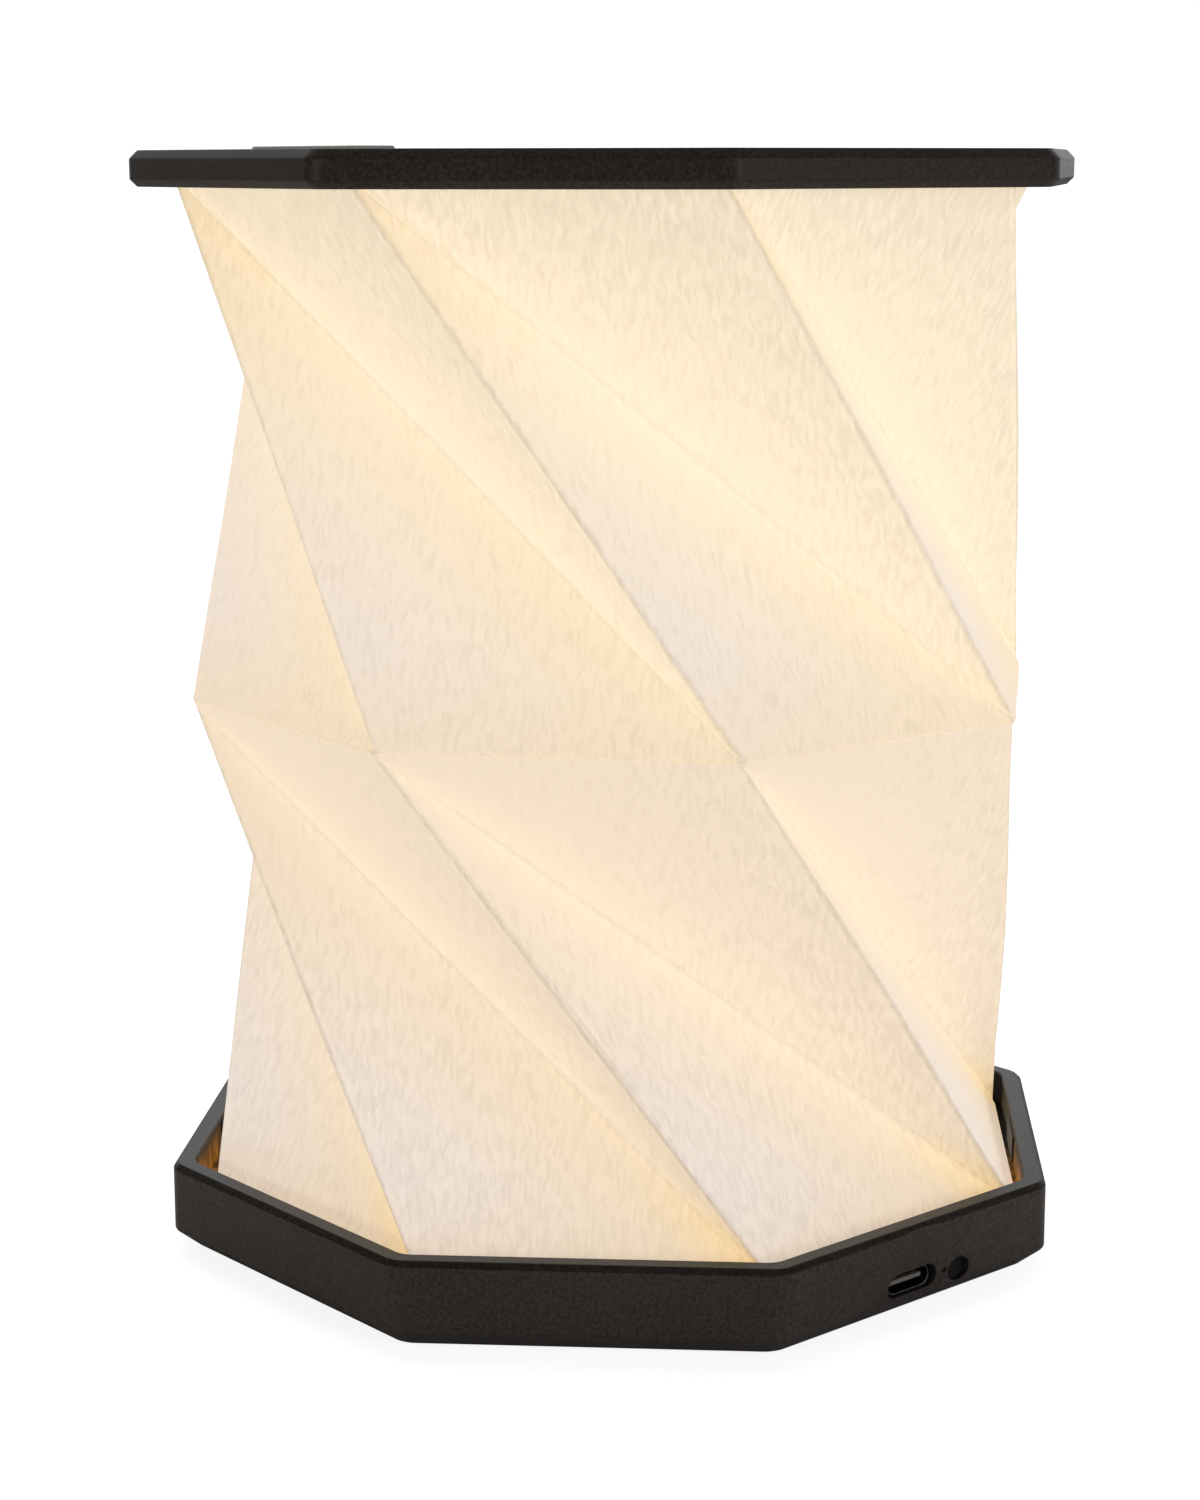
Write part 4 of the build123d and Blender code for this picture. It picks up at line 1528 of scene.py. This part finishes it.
@dataclass
class LidShell:
    """The flat octagonal lid with its short rim.

    The size of its bosses and holes is the radius of each and the heights of its ends, and the
    solid that hollows it starts the spare length below it.
    """

    apothem: float = 67.8 * MM
    low: float = 161.3 * MM
    high: float = 166.6 * MM
    corner: float = 4.0 * MM
    top_chamfer: float = 1.25 * MM
    lower_chamfer: float = 1.1 * MM
    edge_round: float = 0.16 * MM
    inner_apothem: float = 63.95 * MM
    inner_corner: float = 3.2 * MM
    under: float = 165.2 * MM
    spare: float = 1 * MM
    clamp_circle: float = 60.27 * MM
    boss: tuple[float, ...] = mm(2.3, 164.35, 165.5)
    hole: tuple[float, ...] = mm(1.05, 163, 165.95)
    pocket: tuple[float, ...] = mm(3.5, 11.1, 2.0)
    pocket_rise: float = 1.6 * MM

    def build(self) -> Piece:
        """Build, dress and place the lid.

        Returns:
            The finished piece.
        """
        lid = Bench.octagon(
            "lid_cover", self.apothem, self.low, self.high, self.corner, LID_TURN
        )
        with Bench.editing(lid):
            Bench.bevel_end(lid, 1, self.top_chamfer)
            Bench.bevel_end(lid, -1, self.lower_chamfer)
            inner = (self.low + self.lower_chamfer, self.high - self.top_chamfer)
            Bench.bevel_level(lid, (self.low, *inner, self.high), self.edge_round, 2)
        low, corner = self.low - self.spare, self.inner_corner
        inside = Bench.octagon("inside", self.inner_apothem, low, self.under, corner, LID_TURN)
        Bench.shape(lid, inside, Shape.CUT)
        bearings = corner_bearings(LID_TURN)
        bosses = Bench.bars_round(self.boss, self.clamp_circle, bearings, rim=24)
        Bench.shape(lid, bosses, Shape.ADD)
        holes = Bench.bars_round(self.hole, self.clamp_circle, bearings)
        Bench.shape(lid, holes, Shape.CUT)
        height = self.low + self.pocket_rise
        pockets = Bench.pockets_round(self.pocket, self.inner_apothem, LID_TURN, height)
        Bench.shape(lid, pockets, Shape.CUT)
        coat_with(lid, Palette.lid_shaded_housing)
        return deliver(lid, "lid", "lid_shell")


@dataclass(frozen=True)
class FoldRing:
    """An octagonal ring that the paper's creases meet on, and how far its centre has swayed."""

    radius: float
    height: float
    turn: float
    sway: tuple[float, float] = (0.0, 0.0)

    def corners(self) -> np.ndarray:
        """Work out the ring's corners.

        Returns:
            Their places, anticlockwise seen from above.
        """
        bearings = np.radians(HALF_STEP + self.turn + STEP * np.arange(SIDES))
        flat = self.radius * np.column_stack((np.cos(bearings), np.sin(bearings))) + self.sway
        return np.column_stack((flat, np.full(SIDES, self.height)))


@dataclass
class FoldedLayer:
    """One twisted layer of the paper shade."""

    name: str
    node: str
    body: str
    joint: str
    low: FoldRing
    high: FoldRing
    travel: float
    hem_at_top: bool
    hem_height: float
    rests_on: str
    finish: PaperFinish
    hem_apothem: float = 57.73 * MM
    hem_shares: tuple[float, float] = (0.997, 0.98)
    paper: float = 0.3 * MM
    hem: float = 3.8 * MM
    mountain_round: float = 0.8 * MM
    valley_round: float = 0.25 * MM
    length_within: float = 4 * MM
    middle_band: float = 4 * MM
    swelling: float = 0.1 * MM
    bow_sway: tuple[float, float] = (0.24 * MM, 0.0)
    cuts: int = 5
    sag: float = 0.35 * MM
    sag_scale: float = 0.03

    def flat_sizes(self) -> tuple[float, float, float]:
        """Work out the sizes of the flat sheet.

        Returns:
            The pitch, the height and how far the mountain creases lean.
        """
        top, low = (replace(ring, sway=(0.0, 0.0)).corners() for ring in (self.high, self.low))
        pitch, mountain, valley = (
            float(np.linalg.norm(end - start))
            for start, end in ((low[0], low[1]), (low[1], top[0]), (low[2], top[0]))
        )
        shift = (valley**2 - mountain**2 - pitch**2) / (2 * pitch)
        return pitch, math.sqrt(mountain**2 - shift**2), shift

    def facets(self) -> tuple[np.ndarray, np.ndarray]:
        """Work out the corners of every facet.

        Returns:
            Their places on the lantern and their places on the flat sheet.
        """
        top, low = self.high.corners(), self.low.corners()
        pitch, height, shift = self.flat_sizes()
        places, flats = [], []
        for k in range(SIDES):
            one, two = (k + 1) % SIDES, (k + 2) % SIDES
            start, foot, next_foot = (k + 1) * pitch - shift, (k + 1) * pitch, (k + 2) * pitch
            places.append((top[k], low[one], low[two]))
            flats.append(((start, height), (foot, 0), (next_foot, 0)))
            places.append((top[k], low[two], top[one]))
            flats.append(((start, height), (next_foot, 0), (start + pitch, height)))
        return np.array(places), np.array(flats)

    def fold(self) -> Piece:
        """Fold the surface, and round its creases.

        Returns:
            The surface, without a thickness.
        """
        Bench.clear()
        bpy.ops.mesh.primitive_circle_add(
            vertices=SIDES,
            radius=self.low.radius,
            location=(*self.low.sway, self.low.height),
            rotation=(0, 0, math.radians(HALF_STEP + self.low.turn)),
        )
        layer = Bench.take(self.name)
        with Bench.editing(layer):
            shift = [high - low for high, low in zip(self.high.sway, self.low.sway)]
            rise = {"value": (*shift, self.high.height - self.low.height)}
            bpy.ops.mesh.extrude_region_move(TRANSFORM_OT_translate=rise)
            turn = math.radians(STEP - (self.high.turn - self.low.turn))
            middle = (*self.high.sway, self.high.height)
            bpy.ops.transform.rotate(value=turn, orient_axis="Z", center_override=middle)
            Bench.widen(self.high.radius / self.low.radius, middle)
            bpy.ops.mesh.select_all(action="SELECT")
            bpy.ops.mesh.quads_convert_to_tris(quad_method="LONGEST_DIAGONAL")
            for foot, width in ((1, self.mountain_round), (2, self.valley_round)):
                Bench.pick(layer, Part.EDGE, self.crease_to(foot))
                Bench.bevel(width, 3)
            bpy.ops.mesh.select_all(action="SELECT")
            bpy.ops.mesh.subdivide(number_cuts=self.cuts)
        return layer

    def crease_to(self, foot: int) -> Callable[[Vector, Vector], bool]:
        """Make the test that picks one kind of crease.

        Args:
            foot: The corner of the lower ring where the crease from the upper ring's first
                corner ends: 1 for the mountain creases and 2 for the valley creases.

        Returns:
            A test of an edge's two ends.
        """
        wanted = float(np.linalg.norm(self.high.corners()[0] - self.low.corners()[foot]))
        steep = (self.high.height - self.low.height) / 2
        return lambda a, b: (
            abs(a.z - b.z) > steep and abs((a - b).length - wanted) < self.length_within
        )

    def turn_in_hem(self, layer: Piece) -> None:
        """Extrude the clamped end down or up a little, and then inwards.

        Args:
            layer: The folded surface.
        """
        end, middle = self.high if self.hem_at_top else self.low, (0, 0, self.hem_height)
        drop = {"value": (0, 0, self.hem_height - end.height)}
        first, second = self.hem_shares
        with Bench.editing(layer):
            Bench.pick(
                layer,
                Part.EDGE,
                lambda *ends: all(abs(point.z - end.height) < HEIGHT_WITHIN for point in ends),
            )
            bpy.ops.mesh.extrude_region_move(TRANSFORM_OT_translate=drop)
            Bench.widen(first, middle)
            for share in (second, self.hem_apothem / (first * second * end.radius / SECANT)):
                bpy.ops.mesh.extrude_region_move()
                Bench.widen(share, middle)

    def map_sheet(self, layer: Piece) -> None:
        """Give the surface the map of the flat sheet that it is folded from.

        Args:
            layer: The folded surface.
        """
        mesh = layer.data
        while mesh.uv_layers:
            mesh.uv_layers.remove(mesh.uv_layers[0])
        sheet = mesh.uv_layers.new(name="sheet")
        places, flats = self.facets()
        sides, turns = (each[:, 1:] - each[:, :1] for each in (places, flats))
        inverses = np.array([np.linalg.pinv(pair.T) for pair in sides])
        points = np.array([v.co for v in mesh.vertices])
        middles = np.array([f.center for f in mesh.polygons])

        def shares(spots: np.ndarray) -> np.ndarray:
            """Return how far along each facet's two sides each spot lies."""
            return np.einsum("fij,pfj->pfi", inverses, spots[:, None] - places[None, :, 0])

        inside = shares(middles)
        across = np.einsum("pfi,fij->pfj", inside, sides)
        away = np.linalg.norm(middles[:, None] - places[None, :, 0] - across, axis=-1)
        outside = np.maximum(np.maximum(-inside.min(-1), inside.sum(-1) - 1), 0)
        best = (away + outside * self.low.radius).argmin(axis=1)
        spread = flats[None, :, 0] + np.einsum("pfi,fij->pfj", shares(points), turns)
        for face, facet in zip(mesh.polygons, best):
            for corner in face.loop_indices:
                sheet.data[corner].uv = spread[mesh.loops[corner].vertex_index, facet]

    def bow(self, layer: Piece) -> None:
        """Swell the layer's middle, as folded paper does, and let it sway a little.

        Args:
            layer: The folded surface.
        """
        middle = (self.low.height + self.high.height) / 2
        reach = {
            "use_proportional_edit": True,
            "proportional_edit_falloff": "SMOOTH",
            "proportional_size": (self.high.height - self.low.height) / 2,
        }
        with Bench.editing(layer):
            Bench.pick(layer, Part.POINT, lambda point: abs(point.z - middle) < self.middle_band)
            Bench.widen(1 + self.swelling / self.low.radius, (0, 0, middle), **reach)
            bpy.ops.transform.translate(value=(*self.bow_sway, 0), **reach)

    def thicken(self, layer: Piece) -> None:
        """Let the paper sag in slight waves, and give it its thickness.

        Args:
            layer: The folded surface.
        """
        Bench.hold(layer)
        clouds = bpy.data.textures.new("paper_sag", "CLOUDS")
        clouds.noise_scale = self.sag_scale
        waves = layer.modifiers.new("waves", "DISPLACE")
        waves.texture, waves.texture_coords = clouds, "GLOBAL"
        waves.strength, waves.mid_level = self.sag, 0.5
        bpy.ops.object.modifier_apply(modifier=waves.name)
        with Bench.editing(layer):
            bpy.ops.mesh.normals_make_consistent(inside=False)
        thick = layer.modifiers.new("paper", "SOLIDIFY")
        thick.thickness, thick.offset = self.paper, 0.0
        bpy.ops.object.modifier_apply(modifier=thick.name)

    def build(self) -> Piece:
        """Build, dress and place the layer.

        Returns:
            The finished piece.
        """
        layer = self.fold()
        self.turn_in_hem(layer)
        self.map_sheet(layer)
        self.bow(layer)
        self.thicken(layer)
        pitch, height, shift = self.flat_sizes()
        lean = shift / height
        coat_with(
            layer, replace(self.finish, name=self.name, pitch=pitch, lean=lean, height=height)
        )
        deliver(layer, self.body, self.node, angle=25)
        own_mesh(layer)
        return layer


@dataclass
class MiddleFold:
    """The crease that runs round the shade between its two layers."""

    ring: FoldRing
    bead: float = 0.28 * MM
    flatness: float = 0.8
    corner: float = 0.5 * MM
    corner_edge: float = 0.84 * MM
    bearing_within: float = 1e-4

    def build(self) -> Piece:
        """Build, dress and place the crease.

        Returns:
            The finished piece.
        """
        Bench.clear()
        bpy.ops.mesh.primitive_torus_add(
            major_segments=SIDES,
            minor_segments=10,
            major_radius=self.ring.radius - self.bead,
            minor_radius=self.bead,
            location=(*self.ring.sway, self.ring.height),
            rotation=(0, 0, math.radians(HALF_STEP + self.ring.turn)),
        )
        crease = Bench.take("middle_crease")
        flat, middle = (1, 1, self.flatness), (0, 0, self.ring.height)
        with Bench.editing(crease):
            bpy.ops.transform.resize(value=flat, center_override=middle)
            Bench.pick(crease, Part.EDGE, self.is_corner)
            Bench.bevel(self.corner, 3)
        coat_with(crease, Palette.lit_crease)
        return deliver(crease, "middle_fold", "shade_mid_fold", angle=60)

    def is_corner(self, first: Vector, second: Vector) -> bool:
        """Say whether an edge goes round the bead, at one of the ring's corners.

        Args:
            first: One end of the edge.
            second: Its other end.

        Returns:
            Whether its ends are close and lie on the same bearing from the ring's centre.
        """
        x, y = self.ring.sway
        turns = [math.atan2(point.y - y, point.x - x) for point in (first, second)]
        same = abs(turns[0] - turns[1]) < self.bearing_within
        return same and (first - second).length < self.corner_edge


@dataclass
class ChargingPort:
    """The drawn shell of the USB-C socket and the tongue in it."""

    front: float = 64.912 * MM
    side: float = -0.55 * MM
    height: float = 4.8 * MM
    shell: tuple[float, ...] = mm(8.94, 3.2, 7.35)
    shell_flat: float = 0.05 * MM
    shell_round: float = 0.11 * MM
    wall: float = 0.3 * MM
    tongue: tuple[float, ...] = mm(6.7, 0.7, 5.75)
    tongue_round: float = 0.12 * MM
    back_wall: float = 1.0 * MM
    contacts: int = 12
    contact_pitch: float = 0.5 * MM
    contact_width: float = 0.26 * MM
    contact_rise: float = 0.04 * MM
    contact_round: float = 0.01 * MM
    contact_share: float = 0.7
    contact_shift: float = 0.05

    def build_shell(self) -> Piece:
        """Build, dress and place the steel shell.

        Returns:
            The finished piece.
        """
        length, out = self.shell[2], outward(PORT_BEARING)
        place = port_place(self.front - length / 2, self.side, self.height)
        steel = Bench.port_bar("port_shell", self.shell, place, self.shell_flat)
        with Bench.editing(steel):
            Bench.pick(steel, Part.FACE, lambda middle, normal: normal.dot(out) > ALONG)
            bpy.ops.mesh.inset(thickness=self.wall)
            inwards = {"value": out * -(length - self.back_wall)}
            bpy.ops.mesh.extrude_region_move(TRANSFORM_OT_translate=inwards)
        Bench.soften(steel, self.shell_round, segments=3)
        coat_with(steel, Palette.slots["port_steel"])
        return deliver(steel, "base", "usb_c_shell")

    def build_tongue(self) -> Piece:
        """Build, dress and place the tongue with its rows of contacts.

        Returns:
            The finished piece.
        """
        thickness, length = self.tongue[1:]
        middle = self.front - self.shell[2] + self.back_wall + length / 2
        place = port_place(middle, self.side, self.height)
        tongue = Bench.box("port_tongue", self.tongue, place)
        Bench.soften(tongue, self.tongue_round)
        coat_with(tongue, Palette.slots["port_plastic"])
        size = (self.contact_width, thickness + self.contact_rise, length * self.contact_share)
        pad = Bench.box("contact", size)
        Bench.soften(pad, self.contact_round, segments=1)
        coat_with(pad, Palette.gold)
        first = self.side - self.contact_pitch * (self.contacts - 1) / 2
        middle += self.contact_shift * length
        places = [
            port_place(middle, first + k * self.contact_pitch, self.height)
            for k in range(self.contacts)
        ]
        joined = Bench.join([tongue, *Bench.copies(pad, places)], "port_tongue")
        return deliver(joined, "base", "usb_c_tongue")


@dataclass
class LidPlate:
    """The thin metal plate that lies on the lid."""

    size: tuple[float, ...] = mm(7.5, 31, 0.5)
    distance: float = 50 * MM
    bearing: float = -143.4
    low: float = 166.6 * MM
    corner: float = 1.0 * MM
    chamfer: float = 0.3 * MM

    def build(self) -> Piece:
        """Build, dress and place the plate.

        Returns:
            The finished piece.
        """
        half = self.size[2] / 2
        place = polar(self.distance, self.bearing, self.low + half)
        plate = Bench.box("top_plate", self.size, place)
        with Bench.editing(plate):
            Bench.pick(plate, Part.EDGE, lambda a, b: abs(a.z - b.z) > half)
            Bench.bevel(self.corner, 6)
            Bench.bevel_end(plate, 1, self.chamfer, 2)
        coat_with(plate, Palette.slots["plate_metal"])
        return deliver(plate, "lid", "lid_plate")


@dataclass(frozen=True)
class SoftLamp:
    """A square soft lamp: where it hangs, the length of its sides, its power and its colour."""

    name: str
    place: Vector
    size: float
    watts: float
    colour: Colour = grey(1.0)


@dataclass
class Studio:
    """The floor, the light and the camera, whose roll alone is in radians."""

    camera_place: tuple[float, float, float] = (0.028153, -0.455191, 0.164883)
    heading: float = 3.856
    pitch: float = 78.714
    roll: float = -0.001431
    lens: float = 70.794
    sensor: float = 36.0
    nearest: float = 0.01
    front_light: float = 0.14
    back_light: float = 1.1
    back_band: tuple[float, float] = (0.3, 0.97)
    zenith_light: float = 0.3
    zenith_band: tuple[float, float] = (0.25, 0.8)
    floor_size: float = 8.0
    floor_drop: float = 0.0001
    floor_tone: Colour = grey(0.9)
    floor_roughness: float = 0.9
    floor_specular: float = 0.1
    floor_glow: float = 0.86
    aim: tuple[float, float, float] = (0.0, 0.0, 0.08)
    lamps: tuple[SoftLamp, ...] = (
        SoftLamp("overhead", Vector((-0.2, 0.7, 1.1)), 1.0, 3.0),
        SoftLamp("right", polar(1.0, -34.0, 0.16).translation, 0.45, 2.15, (0.97, 0.97, 1.0)),
        SoftLamp("left", polar(1.0, -138.5, 0.16).translation, 0.16, 1.15, (1.0, 0.93, 0.84)),
    )

    def floor(self) -> None:
        """Build the white floor, which keeps the lantern's shadow."""
        Bench.clear()
        bpy.ops.mesh.primitive_plane_add(
            size=self.floor_size, location=(0, 0, -self.floor_drop)
        )
        ground = bpy.context.object
        ground.name = "floor"
        with Bench.editing(ground):
            bpy.ops.mesh.subdivide(number_cuts=3)
        paint = bpy.data.materials.new("floor_white")
        paint.use_nodes = True
        wiring = Wiring(paint.node_tree)
        seen = wiring.node("LightPath").outputs["Is Camera Ray"]
        wiring.fill(
            paint.node_tree.nodes["Principled BSDF"],
            {
                "Base Color": self.floor_tone,
                "Roughness": self.floor_roughness,
                "Specular IOR Level": self.floor_specular,
                "Emission Color": grey(1.0),
                "Emission Strength": wiring.times(seen, self.floor_glow),
            },
        )
        ground.data.materials.append(paint)

    def sky(self) -> None:
        """Light the scene from all round, most from the backdrop, and show white to the camera."""
        world = bpy.data.worlds.new("studio")
        bpy.context.scene.world = world
        world.use_nodes = True
        wiring = Wiring(world.node_tree)
        rays = wiring.node("LightPath").outputs
        seen = wiring.maths("MAXIMUM", rays["Is Camera Ray"], rays["Is Transmission Ray"])
        way = wiring.node("TexCoord").outputs["Generated"]
        way = wiring.node("SeparateXYZ", Vector=way).outputs
        light = wiring.times(
            wiring.spread(way["Y"], *self.back_band, self.front_light, self.back_light),
            wiring.spread(way["Z"], *self.zenith_band, 1.0, self.zenith_light),
        )
        wiring.fill(
            world.node_tree.nodes["Background"],
            {"Color": grey(1.0), "Strength": wiring.maths("MAXIMUM", seen, light)},
        )

    def hang(self, lamp: SoftLamp) -> None:
        """Hang a lamp that faces the lantern's middle.

        Args:
            lamp: The lamp.
        """
        light = bpy.data.lights.new(lamp.name, "AREA")
        light.shape, light.size, light.energy, light.color = (
            "SQUARE", lamp.size, lamp.watts, lamp.colour,
        )
        holder = bpy.data.objects.new(lamp.name, light)
        bpy.context.scene.collection.objects.link(holder)
        holder.location = lamp.place
        way = Vector(self.aim) - lamp.place
        holder.rotation_euler = way.to_track_quat("-Z", "Y").to_euler()

    def camera(self) -> None:
        """Set the camera up where the lantern is seen from."""
        lens = bpy.data.cameras.new("camera")
        lens.lens, lens.sensor_width, lens.clip_start = self.lens, self.sensor, self.nearest
        holder = bpy.data.objects.new("camera", lens)
        bpy.context.scene.collection.objects.link(holder)
        turn = Matrix.Rotation(math.radians(self.heading), 4, "Z")
        turn = turn @ Matrix.Rotation(math.radians(self.pitch), 4, "X")
        turn = turn @ Matrix.Rotation(self.roll, 4, "Z")
        holder.matrix_world = Matrix.Translation(self.camera_place) @ turn
        bpy.context.scene.camera = holder

    def build(self) -> None:
        """Set the whole studio up."""
        self.floor()
        self.sky()
        for lamp in self.lamps:
            self.hang(lamp)
        self.camera()
        bpy.context.scene.view_settings.view_transform = "Standard"


def main() -> None:
    """Build the lantern's pieces in order and report each one."""
    Palette.dress_frame(frame)
    tray_ring = FoldRing(66.8 * MM, 8.6 * MM, LOWER_END_TURN, sway=(0.85 * MM, 0.0))
    middle_ring = FoldRing(66.86 * MM, 84.9 * MM, MID_TURN, sway=(0.53 * MM, 0.59 * MM))
    lid_ring = FoldRing(67.0 * MM, 164.05 * MM, UPPER_END_TURN)
    lower = FoldedLayer(
        "lower_folds",
        "shade_lower",
        "lower_shade",
        "lower_drop",
        tray_ring,
        replace(middle_ring, height=middle_ring.height - CREASE_HALF),
        travel=72.291 * MM,
        hem_at_top=False,
        hem_height=8.45 * MM,
        rests_on="base_clamp",
        finish=Palette.lower_paper,
        swelling=0.55 * MM,
        bow_sway=(0.15 * MM, 0.0),
    )
    upper = FoldedLayer(
        "upper_folds",
        "shade_upper",
        "middle_fold",
        "upper_drop",
        replace(middle_ring, height=middle_ring.height + CREASE_HALF),
        lid_ring,
        travel=75.009 * MM,
        hem_at_top=True,
        hem_height=164.2 * MM,
        rests_on="lid_clamp",
        finish=Palette.paper,
    )
    port = ChargingPort()
    for build in (
        BaseShell().build,
        LidShell().build,
        lower.build,
        upper.build,
        MiddleFold(middle_ring).build,
        port.build_shell,
        port.build_tongue,
        LidPlate().build,
    ):
        piece = build()
        faces, points = len(piece.data.polygons), len(piece.data.vertices)
        log.info("%s: %d faces, %d corners", piece.name, faces, points)
    Studio().build()


if __name__ == "__main__":
    main()
